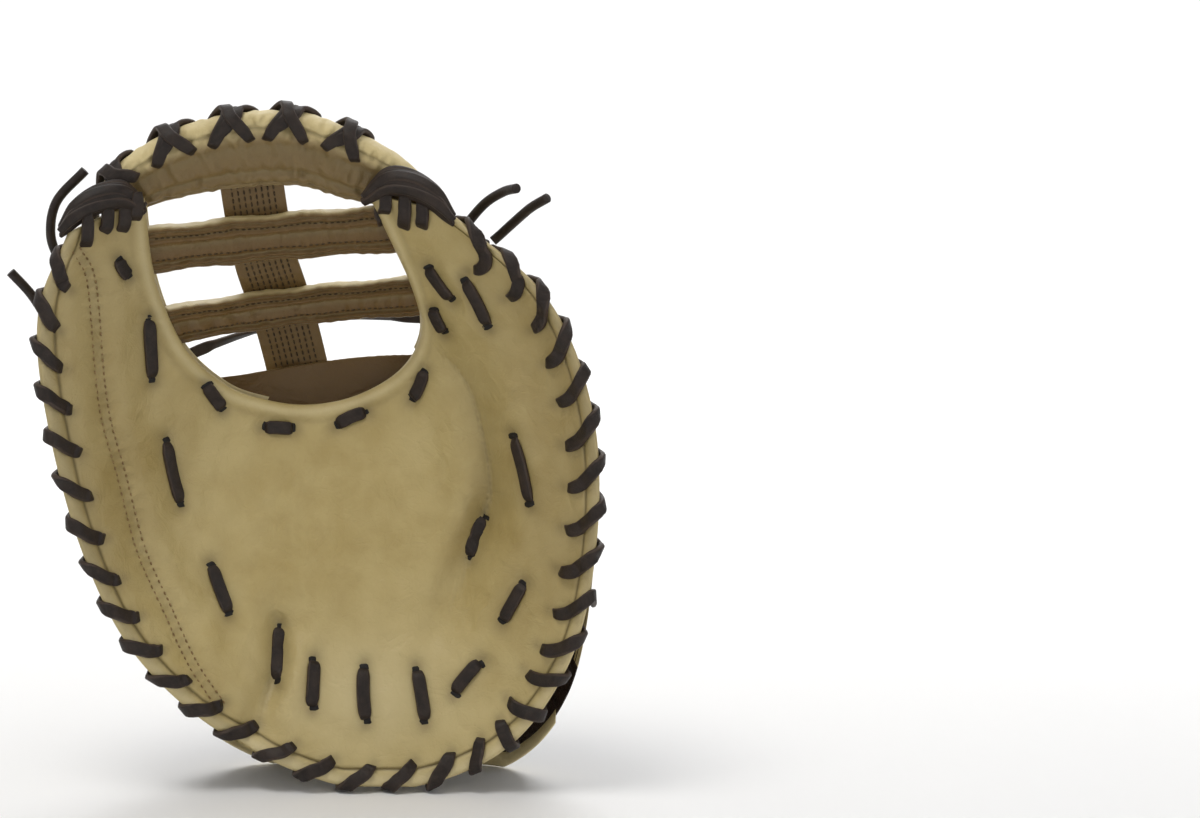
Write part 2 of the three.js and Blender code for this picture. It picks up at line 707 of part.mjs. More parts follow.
const isOpen = (u) => section(u).open > SEAM + HEEL.thick + LACE_THICK;
const edgeBack = (u, v) => (isOpen(u) ? palmBack(u, v).add(vec(0, SEAM + HEEL.thick, 0)) : backOuter(u, v));
const OFF = 0.4; // how far the laces lie off the leather

function stitch(u) {
  const step = 0.1;
  const [to, from] = [section(u + step), section(u - step)];
  const perStep = Math.hypot(to.rimX - from.rimX, to.rimZ - from.rimZ) / (2 * step);
  const slant = (STITCH_SLANT / perStep) * (u < ZIGZAG ? 1 : -1);
  const deep = STITCH_IN / acrossAt(u);
  const place = (face, facing, at, v) => {
    const normal = faceNormal(face, at, Math.max(v, 0.03), facing);
    return { point: face(at, v).addScaledVector(normal, OFF), normal };
  };
  const hole = place(palmFront, -1, u + slant / 2, deep);
  const over = place(palmFront, -1, u, deep / 2);
  const under = place(edgeBack, 1, u - slant / 2, deep * 0.75);
  const corner = (face, facing, at) => {
    const normal = faceNormal(face, at, 0.03, facing).add(outward(at));
    return { point: face(at, 0).addScaledVector(normal, OFF), normal };
  };
  const run = [
    hole,
    over,
    corner(palmFront, -1, u - slant / 2),
    corner(edgeBack, 1, u - slant / 2),
    under,
  ];
  return solid(strip(run.map((r) => r.point), run.map((r) => r.normal)));
}

function seamRun(from, to) {
  const us = steps(from, to, Math.ceil((to - from) * 3));
  const low = (u) => -(OFF + 1) / acrossAt(u);
  const high = (u) => 4 / acrossAt(u);
  return solid(sheet(moved(palmBack, CLEAR), moved(palmBack, SEAM - CLEAR), us, [0, 1], low, high));
}

const KEEP = 0.15; // how far the leather is grown where laces are cut clear of it
const PALM_KEEP = solid(sheet(moved(palmFront, -KEEP), moved(palmBack, KEEP), ROUND, ACROSS));
const BELOW_FLOOR = solid(mergedBare(new THREE.BoxGeometry(400, 200, 20).translate(0, 0, -10)));
const HEEL_KEEP = solid(heelSheet(CLEAR));
const BACK_KEEP = solid(sheet(moved(backInner, -KEEP), moved(backOuter, KEEP), ROUND, ACROSS));
const STITCHES = stitchPlaces();
const EDGE_RUNS = [
  { name: "edge_lace_thumb", from: 0, to: 4.2 },
  { name: "edge_lace_heel", from: 4.2, to: 7.9 },
  { name: "edge_lace_finger", from: 7.9, to: LAST },
];
for (const run of EDGE_RUNS) {
  const mine = STITCHES.filter((u) => u > run.from + 0.1 && u < run.to - 0.1);
  let lace = seamRun(run.from + 0.02, run.to - 0.02);
  for (const u of mine) {
    lace = lace.add(stitch(u));
  }
  for (const zone of [PALM_KEEP, BACK_KEEP, HEEL_KEEP, BELOW_FLOOR]) {
    lace = lace.subtract(zone);
  }
  lace = largest(lace);
  add(run.name, geometryFrom(lace), RAWHIDE);
}

// Short laces laid on a face, from hole to hole
function laidStrip(face, facing, path, off, pieces = 3) {
  const [from, to] = path;
  const laid = steps(0, 1, pieces).map((t) => {
    const at = onFace(face, lerp(from[0], to[0], t), lerp(from[1], to[1], t), facing);
    return { point: at.point.addScaledVector(at.normal, off), normal: at.normal };
  });
  return strip(laid.map((l) => l.point), laid.map((l) => l.normal));
}
function clearOf(geometry, ...zones) {
  return geometryFrom(zones.reduce((left, zone) => largest(left.subtract(zone)), solid(geometry)));
}
for (const [name, path] of Object.entries(PALM_LACES)) {
  add(name, clearOf(laidStrip(palmFront, -1, path, OFF), PALM_KEEP), RAWHIDE);
}
for (const [name, path] of Object.entries(BACK_LACES)) {
  add(name, clearOf(laidStrip(backOuter, 1, path, OFF), BACK_KEEP), RAWHIDE);
}
for (const [name, path] of Object.entries(HOOD_LACES)) {
  add(name, clearOf(laidStrip(hoodFar, 1, path, OFF + 0.2), hoodKeep), RAWHIDE);
}

// The outermost surface of the back at a place seen from the front, over the hood and the strap
const backFace = (x, z) => onFace(backOuter, x, z, 1);

// Finger hole ring
function ringSection(angle) {
  return RING.map(({ out, up }) => {
    const [x, z] = holeAt(angle, out);
    const at = backFace(x, z);
    return at.point.addScaledVector(at.normal, up);
  });
}
const ringBody = closedLoft(steps(0, 2 * Math.PI, 24).slice(0, -1).map(ringSection));
add("finger_hole_ring", clearOf(ringBody, shellZone), RAWHIDE);

// Wrist strap
function strapEnds(t) {
  const w = WRIST_STRAP;
  const middle = (w.low + w.high) / 2;
  const half = (w.high - w.low) / 2;
  const x = lerp(w.left, w.right, t);
  const past = Math.max(0, (x - (w.right - w.endRadius)) / w.endRadius);
  const tall = half * Math.sqrt(Math.max(1 - past ** 2 * 0.8, 0));
  return { x, low: middle - tall, high: middle + tall };
}
function strapFace(up) {
  return (t, v) => {
    const { x, low, high } = strapEnds(t);
    const at = backFace(x, lerp(low, high, v));
    return at.point.addScaledVector(at.normal, up);
  };
}
const STRAP_STEPS = [...steps(0, 0.86, 10), 0.91, 0.95, 0.98, 1];

// Binding along the back's lower edge
const shellHeight = (u) => section(u).mouthZ - section(u).backZ;
const bindingLow = (u) => -(FLOOR_BACK + LEATHER) / shellHeight(u);
const bindingHigh = (u) => BINDING.height / shellHeight(u);
const bindingUs = steps(BINDING.from, BINDING.to, 14);
const bindingBody = solid(
  sheet(
    moved(backInner, -CLEAR - BINDING.thick),
    moved(backOuter, CLEAR + BINDING.thick),
    bindingUs,
    [0, 0.34, 0.67, 1],
    bindingLow,
    bindingHigh,
  ),
);
const edgeVs = [-0.006, 0.04, 0.12];
const edgeZone = solid(sheet(moved(backInner, -CLEAR), moved(backOuter, CLEAR), ROUND, edgeVs));
add("wrist_binding", geometryFrom(largest(bindingBody.subtract(edgeZone))), TAN);
const keepHigh = (u) => bindingHigh(u) + 0.002;
const bindingKeep = solid(
  sheet(backOuter, moved(backOuter, 2 * CLEAR + BINDING.thick), bindingUs, [0, 1], bindingLow, keepHigh),
);
const strapSheet = sheet(strapFace(OFF), strapFace(OFF + WRIST_STRAP.thick), STRAP_STEPS, steps(0, 1, 4));
add("wrist_strap", clearOf(strapSheet, bindingKeep, BACK_KEEP), BROWN);

// Rail lace: two runs wound opposite ways round the rail, which cross on both faces
const RAIL_TURNS = 5;
function railWind(sense) {
  const corners = 10;
  const count = RAIL_TURNS * corners;
  const up = vec(0, -RAIL_LEAN, 1).normalize();
  const places = steps(0.75, RAIL.length - 1.75, count);
  const laid = places.map((place, i) => {
    const s = rowAt(RAIL, place);
    const ahead = rowAt(RAIL, place + 0.05);
    const along = vec(ahead.x - s.x, ahead.y - s.y, ahead.z - s.z).normalize();
    const tall = up.clone().addScaledVector(along, -up.dot(along)).normalize();
    const thin = along.clone().cross(tall).normalize();
    const angle = sense * ((2 * Math.PI * i) / corners);
    const round = (grow) => {
      const c = Math.cos(angle);
      const sn = Math.sin(angle);
      const a = Math.sign(c) * Math.abs(c) ** 0.6 * (s.height / 2 + grow);
      const b = Math.sign(sn) * Math.abs(sn) ** 0.75 * (s.thick / 2 + grow);
      return vec(s.x, s.y, s.z).addScaledVector(tall, a).addScaledVector(thin, b);
    };
    const point = round(2 * OFF);
    return { point, normal: round(2 * OFF + 1).sub(point).normalize() };
  });
  return solid(strip(laid.map((l) => l.point), laid.map((l) => l.normal)));
}
const railKeep = solid(paddedBar(RAIL_STATIONS.map((r) => fatter(r, CLEAR)), RAIL_LEAN));
let railLace = railWind(1).add(railWind(-1));
for (const zone of [railKeep, fatStrap, tipZone, fatBars[0]]) {
  railLace = railLace.subtract(zone);
}
add("rail_lace", geometryFrom(largest(railLace)), RAWHIDE);

// Pull laces and knots
function knotBody(at, size, extra = 0) {
  const made = new THREE.SphereGeometry(1, 10, 6);
  made.scale((size.long + extra) / 2, size.thick + extra / 2, (size.tall + extra) / 2);
  const turn = new THREE.Quaternion().setFromUnitVectors(vec(0, 1, 0), at.normal);
  made.applyQuaternion(turn);
  made.translate(at.point.x, at.point.y, at.point.z);
  return solid(mergedBare(made));
}
const onBack = [shellZone, hoodKeep, fatStrap, ...fatBars];
function onTop(x, z, off) {
  const inHood = (px, pz) => insideOutline(HOOD_OUTLINE, px, pz);
  const high = inHood(x, z) || inHood(x - 3, z) || inHood(x + 3, z);
  const at = onFace(backOuter, x, z, 1);
  at.point.addScaledVector(at.normal, off + (high ? HOOD.thick + CLEAR : 0));
  return at;
}
function insideOutline(outline, x, z) {
  let inside = false;
  outline.forEach(([ax, az], i) => {
    const [bx, bz] = outline.at(i - 1);
    if (az > z !== bz > z && x < ((bx - ax) * (z - az)) / (bz - az) + ax) inside = !inside;
  });
  return inside;
}
function onWay([x, z, depth], off) {
  if (depth === undefined) return onTop(x, z, off);
  return { point: vec(x, depth, z), normal: vec(0, 1, 0) };
}
for (const pull of PULL_LACES) {
  const held = pull.path.map((place) => onWay(place, OFF + 0.4));
  const points = new THREE.CatmullRomCurve3(held.map((h) => h.point)).getPoints(3 * (held.length - 1));
  const normals = new THREE.CatmullRomCurve3(held.map((h) => h.normal)).getPoints(3 * (held.length - 1));
  let lace = solid(strip(points, normals.map((n) => n.normalize())));
  lace = lace.add(knotBody(onWay(pull.knot, OFF + 1.5), KNOT));
  for (const zone of onBack) {
    lace = lace.subtract(zone);
  }
  add(pull.name, geometryFrom(largest(lace)), RAWHIDE);
}

// Knots near the tips with their free tails
function tube(points, radius) {
  const sides = 6;
  const rings = points.map((p, i) => {
    const after = points[Math.min(i + 1, points.length - 1)];
    const before = points[Math.max(i - 1, 0)];
    const along = after.clone().sub(before).normalize();
    const side = along.clone().cross(vec(0, 1, 0)).normalize();
    const up = side.clone().cross(along).normalize();
    return Array.from({ length: sides }, (_, k) => {
      const angle = (2 * Math.PI * k) / sides;
      const out = side.clone().multiplyScalar(Math.cos(angle)).addScaledVector(up, Math.sin(angle));
      return p.clone().addScaledVector(out, radius);
    });
  });
  return loft(rings);
}
const bandKeep = solid(sheet(moved(palmFront, -CLEAR), moved(backOuter, CLEAR), ROUND, ACROSS));
for (const knot of TIP_KNOTS) {
  const at = onFace(backOuter, knot.x, knot.z, 1);
  at.point.addScaledVector(at.normal, OFF + 1);
  const body = knotBody(at, TIP_KNOT);
  const centre = at.point.clone().addScaledVector(at.normal, 1.5);
  const path = TAIL_PATHS[knot.name].map(([x, y, z]) => vec(centre.x + x, centre.y + y, centre.z + z));
  const curve = new THREE.CatmullRomCurve3([centre, ...path]);
  const wide = knotBody(at, TIP_KNOT, 2 * CLEAR);
  const tail = solid(tube(curve.getPoints(10), TAIL_RADIUS)).subtract(wide);
  add(knot.name, geometryFrom(largest(body.subtract(bandKeep))), RAWHIDE);
  add(knot.name.replace("knot", "tail"), geometryFrom(largest(tail)), RAWHIDE);
}

// Stand the mitt over the origin, with its free tails left out of the reckoning
const box = new THREE.Box3();
for (const mesh of mitt.children) {
  if (!mesh.name.includes("_tail_")) box.expandByObject(mesh);
}
for (const mesh of mitt.children) {
  mesh.geometry.translate(-(box.min.x + box.max.x) / 2, -(box.min.y + box.max.y) / 2, -box.min.z);
}

export default mitt;
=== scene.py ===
"""A first base mitt: padded tan palm and web, brown back, rawhide lacing and gold thread."""
import logging
import math
from dataclasses import dataclass, field
from enum import Enum
from typing import Callable, Sequence

import bmesh
import bpy
import numpy as np
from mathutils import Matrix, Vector
from mathutils.bvhtree import BVHTree


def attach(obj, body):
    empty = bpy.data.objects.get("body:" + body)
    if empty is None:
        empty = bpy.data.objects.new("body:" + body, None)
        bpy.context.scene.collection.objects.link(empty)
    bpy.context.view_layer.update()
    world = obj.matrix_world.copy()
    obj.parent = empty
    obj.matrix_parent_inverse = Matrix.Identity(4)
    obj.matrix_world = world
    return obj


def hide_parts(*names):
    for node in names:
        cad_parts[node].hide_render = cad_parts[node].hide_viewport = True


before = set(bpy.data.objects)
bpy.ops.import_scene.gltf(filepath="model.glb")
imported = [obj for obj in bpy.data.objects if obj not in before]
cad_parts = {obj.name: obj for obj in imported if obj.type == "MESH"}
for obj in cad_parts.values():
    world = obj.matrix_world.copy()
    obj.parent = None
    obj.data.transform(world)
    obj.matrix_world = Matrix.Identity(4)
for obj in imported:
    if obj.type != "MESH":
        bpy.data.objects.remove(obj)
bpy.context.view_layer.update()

LOG = logging.getLogger("mitt")
MM = 0.001
Array = np.ndarray
Face = Callable[[Array, Array], Array]

# Where the mitt's own millimetre frame lies in the row frame
SHIFT = np.array([2.2708, -17.8780, 0.0])

# The mitt's sections from the thumb's tip, round the heel, to the fingers' tip
COLUMNS = (
    "rim_x", "rim_z", "rim_y", "mouth_x", "mouth_z", "mouth_y", "sink", "pad", "hollow", "back_x", "back_z", "open",
)
SECTIONS = np.array([
    [-114, 258, -22, -80, 273, -12, 0.60, 8, 13, -114, 258, 0],
    [-127, 222, -29, -76, 237, -2, 0.66, 12, 15, -127, 222, 0],
    [-123, 174, -33, -64, 205, 9, 0.68, 13, 17, -123, 174, 0],
    [-107, 112, -30, -45, 185, 22, 0.68, 15, 19, -107, 112, 0],
    [-82, 62, -20, -27, 177, 31, 0.64, 18, 20, -82, 57, 22],
    [-37, 22, -11, -8, 174, 35, 0.60, 20, 21, -33, 8, 50],
    [22, 1, -9, 12, 177, 36, 0.58, 18, 21, 30, -2, 55],
    [78, 17, -13, 30, 186, 33, 0.60, 20, 22, 84, 3, 49],
    [110, 61, -27, 41, 198, 26, 0.66, 18, 24, 113, 46, 19],
    [122, 118, -37, 45, 213, 17, 0.70, 14, 24, 122, 118, 0],
    [120, 178, -40, 40, 232, 8, 0.70, 13, 22, 120, 178, 0],
    [100, 229, -34, 31, 252, -1, 0.66, 12, 18, 100, 229, 0],
    [57, 267, -22, 20, 275, -10, 0.60, 8, 13, 57, 267, 0],
], dtype=float)
LAST = len(SECTIONS) - 1

# Creases on the palm: x and z of the points that they pass through
LEFT_CREASE = [(-23, 84), (-21, 59), (-26, 44), (-31, 30)]
RIGHT_CREASE = [(45, 210), (64, 190), (71, 173), (77, 143), (75, 126), (63, 92), (56, 76)]
THUMB_SEAM = [
    (-110, 250), (-104, 236), (-101, 195), (-98, 172), (-92, 149), (-83, 113), (-71, 85), (-60, 61), (-47, 41),
]
FINGER_RIDGE = [(62, 232), (82, 196), (93, 160), (98, 128), (92, 96), (80, 66)]

# Outlines on the back: the brown leather and the tan hood, x and z seen from the palm's side
BROWN_OUTLINE = [
    (-86, 204), (-96, 201), (-103, 190), (-104, 176), (-98, 151), (-87, 121), (-80, 100), (-90, 88), (-130, 80),
    (-130, -20), (140, -20), (140, 142), (108, 166), (97, 196), (76, 220), (60, 243), (62, 222), (67, 200),
    (67, 188), (52, 182), (10, 182), (-20, 182), (-50, 182), (-62, 186), (-72, 198),
]
HOOD_OUTLINE = [
    (-66, 185), (-66, 169), (-60, 152), (-50, 138), (-38, 128), (-23, 124), (0, 125), (22, 128), (38, 132),
    (50, 139), (60, 151), (69, 172), (70, 199), (20, 195), (-30, 188),
]

# Seams on the back: x and z of their points, and how far aside each row of thread lies
FINGER_STALL_RIDGE = [(60, 236), (72, 208), (82, 172), (84, 140), (80, 108)]
STALL_SEAM = [(96, 190), (102, 160), (100, 128), (96, 100), (90, 74)]
HOOD_FOLD = [(64, 177), (45, 173), (22, 168), (0, 162), (-19, 158), (-38, 158), (-57, 161)]
SLOT = [(-11.5, 45), (-13, 53), (-20, 58), (-28, 56), (-33, 47), (-35, 30), (-35, 16)]
SEWN_ROWS = {
    "stall_inner": ([(59, 238), (64, 216), (70, 194), (73, 178)], (1.5,)),
    "stall_outer": ([(60, 238), (78, 214), (96, 190), (102, 160), (101, 128), (97, 100), (90, 72)], (2.4,)),
    "thumb_stall": ([(-66, 190), (-76, 196), (-88, 200), (-97, 195), (-101, 184), (-101, 172), (-95, 150), (-84, 122)],
                    (2.2, 4.6)),
    "hood_fold": (HOOD_FOLD, (-1.3, 1.3)),
    "hood_side": ([(67, 190), (66, 172), (58, 153), (48, 142), (36, 134)], (2.6, 4.8)),
    "hood_low": ([(36, 134), (20, 130.5), (0, 128), (-22, 127), (-36, 131), (-48, 141), (-57, 153), (-62, 168)],
                 (2.4,)),
    "slot": (SLOT, (0.0, -3.2)),
}

def numbered(label: str, *ends: tuple) -> dict[str, tuple]:
    """Name short laces, each given by x and z of its two holes, by their numbers."""
    return {f"{label}_{k}": pair for k, pair in enumerate(ends, 1)}


PALM_LACES = {
    **numbered("heel_lace", ((-4, 60), (-5, 37)), ((19, 57), (20, 31)), ((43, 56), (47, 31))),
    **numbered(
        "palm_lace", ((-92, 246), (-87, 237)), ((-79, 219), (-78, 188)), ((-72, 162), (-65, 130)),
        ((-52, 104), (-43, 80)), ((-20, 74), (-21, 48)), ((-54, 186), (-46, 173)), ((-28, 164), (-13, 163)),
        ((6, 164), (21, 171)), ((41, 177), (47, 192)), ((56, 210), (50, 222)), ((59, 226), (47, 242)),
        ((75, 214), (63, 237)), ((86, 166), (94, 133)), ((75, 125), (68, 104)), ((92, 98), (82, 78)),
        ((73, 60), (60, 44)),
    ),
}
BACK_LACES = numbered("back_lace", ((89, 228), (64, 238)), ((104, 200), (110, 178)), ((-108, 200), (-112, 176)))
HOOD_LACES = numbered("hood_lace", ((55, 166), (48, 147)), ((-53, 160), (-38, 147)))


def smooth(t: Array) -> Array:
    """Ease from 0 to 1."""
    t = np.clip(t, 0, 1)
    return t * t * (3 - 2 * t)


def unit(rows: Array) -> Array:
    """Scale a direction, or each row of directions, to length 1."""
    return rows / np.linalg.norm(rows, axis=-1, keepdims=True)


def peak(gap: Array, width: float) -> Array:
    """Give a soft peak, 1 where the gap is nothing."""
    return np.exp(-(gap / width) ** 2)


def profile(gap: Array, *terms: tuple[float, float, float]) -> Array:
    """Add up ridges and grooves beside a line, each with its height, distance from the line and width."""
    return sum(height * peak(gap - at, width) for height, at, width in terms)


def ripples(x: Array, z: Array, *waves: tuple[float, ...]) -> Array:
    """Add up crossed waves.

    Args:
        x: The places' x.
        z: The places' z.
        waves: For each, its height, then steepness in x and z and shift of one wave, and both steepnesses of the other.

    Returns:
        Their sum at each place.
    """
    return sum(height * np.sin(a * x + b * z + shift) * np.sin(c * x + d * z) for height, a, b, shift, c, d in waves)


def fillet(inset: Array, radius: float) -> Array:
    """Give how far a rounded edge falls away at a distance from it."""
    within = np.clip(radius - inset, 0, radius)
    return radius - np.sqrt(np.maximum(radius ** 2 - within ** 2, 0))


def catmull(table: Array, place: Array) -> Array:
    """Read rows of a table at places between its rows, on a curve through them.

    Args:
        table: One row for each station.
        place: The places, counted in rows.

    Returns:
        One interpolated row for each place.
    """
    last = len(table) - 1
    i = np.clip(np.floor(place).astype(int), 0, last - 1)
    t = (place - i)[..., None]
    p1, p2 = table[i], table[i + 1]
    p0 = np.where((i > 0)[..., None], table[np.maximum(i - 1, 0)], 2 * p1 - p2)
    p3 = np.where((i + 2 <= last)[..., None], table[np.minimum(i + 2, last)], 2 * p2 - p1)
    b, c, d = p2 - p0, 2 * p0 - 5 * p1 + 4 * p2 - p3, 3 * p1 - p0 - 3 * p2 + p3
    return (2 * p1 + b * t + c * t * t + d * t ** 3) / 2


def curve_through(points: Sequence[Sequence[float]], count: int) -> Array:
    """Sample a smooth curve through points at even places.

    Args:
        points: The points that the curve passes through.
        count: How many samples to take.

    Returns:
        The samples, one row each.
    """
    table = np.array(points, dtype=float)
    dense = catmull(table, np.linspace(0, len(table) - 1, 60 * len(table)))
    run = np.concatenate([[0], np.cumsum(np.linalg.norm(np.diff(dense, axis=0), axis=1))])
    even = np.linspace(0, run[-1], count)
    return np.stack([np.interp(even, run, dense[:, k]) for k in range(table.shape[1])], axis=1)


def distance_to(path: Sequence[Sequence[float]], x: Array, z: Array) -> tuple[Array, Array]:
    """Measure how far points lie from a path seen from the front.

    Args:
        path: The path's x and z.
        x: The points' x.
        z: The points' z.

    Returns:
        The distance, and how far along the path the nearest point lies, 0 to 1.
    """
    line = curve_through(path, 40)
    gap = np.hypot(x[..., None] - line[:, 0], z[..., None] - line[:, 1])
    return gap.min(axis=-1), gap.argmin(axis=-1) / (len(line) - 1)


class MittForm:
    """The mitt's faces: u runs round it in sections, v from the rim, 0, to the mouth, 1."""

    edge = 5.0
    leather = 3.0
    seam = 1.6
    mouth_gap = 10.0
    floor_rim = 2.6
    floor_back = 4.2
    crease_depth = 5.0
    crease_width = 11.0
    pitch = 20.5
    hole_in = 12.0
    slant_run = 12.5
    finger_hole_in = 15.5
    zigzag = 7.5
    zigzag_ease = 0.9
    least_slant = 0.3
    cad_creases = (((-19, 72), (-37, 26)), ((76, 126), (54, 74)))

    def section(self, u: Array) -> dict[str, Array]:
        """Give the named values of the sections at u."""
        rows = catmull(SECTIONS, np.asarray(u, dtype=float))
        named = {name: rows[..., k] for k, name in enumerate(COLUMNS)}
        named["rim_z"] = np.maximum(named["rim_z"], self.floor_rim)
        named["back_z"] = np.maximum(named["back_z"], self.floor_back)
        named["open"] = np.maximum(named["open"], 0)
        return named

    def crease(self, x: Array, z: Array) -> Array:
        """Give how far the heel's two folds push the palm in."""
        depth = np.zeros_like(x)
        for (x1, z1), (x2, z2) in self.cad_creases:
            dx, dz = x2 - x1, z2 - z1
            t = np.clip(((x - x1) * dx + (z - z1) * dz) / (dx * dx + dz * dz), 0, 1)
            away = np.hypot(x - x1 - t * dx, z - z1 - t * dz)
            depth += self.crease_depth * peak(away, self.crease_width)
        return depth

    def width(self, u: Array, back: bool = False) -> Array:
        """Give how far the mouth lies from the rim."""
        s = self.section(u)
        side = "back" if back else "rim"
        return np.hypot(s["mouth_x"] - s[side + "_x"], s["mouth_z"] - s[side + "_z"])

    def phase(self, u: Array) -> Array:
        """Count the edge stitches passed along the rim, whole at every stitch."""
        steps = np.linspace(0, LAST, 4001)
        s = self.section(steps)
        run = np.concatenate([[0], np.cumsum(np.hypot(np.diff(s["rim_x"]), np.diff(s["rim_z"])))])
        return (np.interp(u, steps, run) - self.pitch / 2) / self.pitch

    def stitch_places(self) -> Array:
        """Give u of every edge stitch."""
        steps = np.linspace(0, LAST, 4001)
        counts = self.phase(steps)
        return np.interp(np.arange(0, math.floor(counts[-1]) + 1), counts, steps)

    def hole(self, u: float) -> tuple[float, float]:
        """Give u and v of the hole of the edge stitch that leaves the rim at u."""
        before, here, after = (self.section(np.array(u + step)) for step in (-0.1, 0.0, 0.1))
        along = unit(np.array([after["rim_x"] - before["rim_x"], after["rim_z"] - before["rim_z"]]))
        inward = np.array([-along[1], along[0]])
        deep, run = (self.hole_in, self.slant_run) if u < self.zigzag else (self.finger_hole_in, -self.slant_run)
        run *= min(max(abs(u - self.zigzag) / self.zigzag_ease, self.least_slant), 1.0)
        spot = np.array([here["rim_x"], here["rim_z"]]) + inward * deep + along * run
        near_u = np.linspace(max(u - 1.2, 0.02), min(u + 1.2, LAST - 0.02), 241)
        us, vs = np.meshgrid(near_u, np.linspace(0, 0.6, 181), indexing="ij")
        p = self.front(us, vs)
        nearest = np.hypot(p[..., 0] - spot[0], p[..., 2] - spot[1]).argmin()
        return float(us.ravel()[nearest]), float(vs.ravel()[nearest])

    def edge_holes(self) -> Array:
        """Give x and z of the edge lace's holes in the palm."""
        places = np.array([self.hole(float(u)) for u in self.stitch_places()])
        return self.front(places[:, 0], places[:, 1])[:, [0, 2]]

    @staticmethod
    def bulge(v: Array, skew: float) -> Array:
        """Give a swelling that is nothing at the rim and at the mouth."""
        return np.sin(np.pi * np.clip(v, 0, 1) ** skew) ** 2

    def front(self, u: Array, v: Array) -> Array:
        """Give the palm's catching face, in the mitt's own millimetres."""
        s = self.section(u)
        x = s["rim_x"] + (s["mouth_x"] - s["rim_x"]) * v
        z = s["rim_z"] + (s["mouth_z"] - s["rim_z"]) * v
        sunk = (4 * s["sink"] - 1) * v + (2 - 4 * s["sink"]) * v * v
        y = s["rim_y"] + (s["mouth_y"] - s["rim_y"]) * sunk + self.crease(x, z)
        return np.stack([x, y, z], axis=-1)

    def behind(self, u: Array, v: Array) -> Array:
        """Give the palm's inner face, behind its padding."""
        s = self.section(u)
        p = self.front(u, v)
        p[..., 1] += self.edge + (s["pad"] - self.edge) * self.bulge(v, 0.6) - 0.6 * self.crease(p[..., 0], p[..., 2])
        return p

    def inner(self, u: Array, v: Array) -> Array:
        """Give the back's inner face."""
        s = self.section(u)
        within = 1 - np.clip(v, 0, 1)
        gap = self.seam + (self.mouth_gap - self.seam) * smooth(v) + s["open"] * within ** 2
        p = self.behind(u, v)
        p[..., 1] += gap + s["hollow"] * self.bulge(v, 1.25)
        p[..., 0] = s["back_x"] + (s["mouth_x"] - s["back_x"]) * v
        p[..., 2] = s["back_z"] + (s["mouth_z"] - s["back_z"]) * v
        return p

    def outer(self, u: Array, v: Array) -> Array:
        """Give the back's outer face."""
        p = self.inner(u, v)
        p[..., 1] += self.leather
        return p

    def outline_span(self, outline: Sequence[Sequence[float]], u: float, top: float) -> tuple[float, float] | None:
        """Find where a section of the back lies inside an outline.

        Args:
            outline: The closed outline's x and z.
            u: The section.
            top: The highest v to look at.

        Returns:
            The lowest and highest v inside the outline, or None.
        """
        s = self.section(np.array([u]))
        v = np.linspace(0, top, 500)
        x = s["back_x"] + (s["mouth_x"] - s["back_x"]) * v
        z = s["back_z"] + (s["mouth_z"] - s["back_z"]) * v
        inside = np.zeros(len(v), dtype=bool)
        for (ax, az), (bx, bz) in zip(outline, list(outline[1:]) + [outline[0]]):
            crosses = (az > z) != (bz > z)
            with np.errstate(divide="ignore", invalid="ignore"):
                inside ^= crosses & (x < (bx - ax) * (z - az) / (bz - az) + ax)
        if not inside.any():
            return None
        hits = v[inside]
        return float(hits[0]), float(hits[-1])


FORM = MittForm()


def to_row(points: Array) -> Array:
    """Move points from the mitt's own millimetres to the row frame's metres."""
    return (points + SHIFT) * MM


def own(x: float, y: float, z: float) -> Array:
    """Give one point of the mitt's own millimetres in the row frame."""
    return to_row(np.array([x, y, z], dtype=float))


def make_mesh(name: str, points: Array, faces: Sequence[Sequence[int]], material: bpy.types.Material,
              facts: dict[str, Array] | None = None, shaded: bool = True) -> bpy.types.Object:
    """Make a mesh object at the origin.

    Args:
        name: The piece's name.
        points: Its vertices, in the row frame.
        faces: Its faces.
        material: Its finish.
        facts: Named numbers for each vertex, which the finish reads.
        shaded: Whether its faces are shaded smooth.

    Returns:
        The object.
    """
    mesh = bpy.data.meshes.new(name)
    mesh.from_pydata(points.tolist(), [], [list(f) for f in faces])
    for fact, values in (facts or {}).items():
        layer = mesh.attributes.new(fact, "FLOAT", "POINT")
        layer.data.foreach_set("value", np.ascontiguousarray(values, dtype=np.float32))
    mesh.polygons.foreach_set("use_smooth", [shaded] * len(mesh.polygons))
    mesh.materials.append(material)
    mesh.update()
    obj = bpy.data.objects.new(name, mesh)
    bpy.context.scene.collection.objects.link(obj)
    return obj


def shell_faces(kept: Array) -> list[list[int]]:
    """Give the faces of a body of two layers over the kept cells of a grid.

    Args:
        kept: Which of the grid's cells are there.

    Returns:
        Both layers' faces, then the walls along every edge of the kept cells.
    """
    rows, cols = kept.shape[0] + 1, kept.shape[1] + 1
    count = rows * cols
    around = np.pad(kept, 1)
    layers: list[list[int]] = []
    walls: list[list[int]] = []
    for i, j in zip(*(places.tolist() for places in np.nonzero(kept))):
        a = i * cols + j
        b, c, d = a + 1, a + cols + 1, a + cols
        layers += [[a, b, c, d], [d + count, c + count, b + count, a + count]]
        for joined, p, q in ((around[i, j + 1], b, a), (around[i + 2, j + 1], d, c),
                             (around[i + 1, j], a, d), (around[i + 1, j + 2], c, b)):
            if not joined:
                walls.append([p, q, q + count, p + count])
    return layers + walls


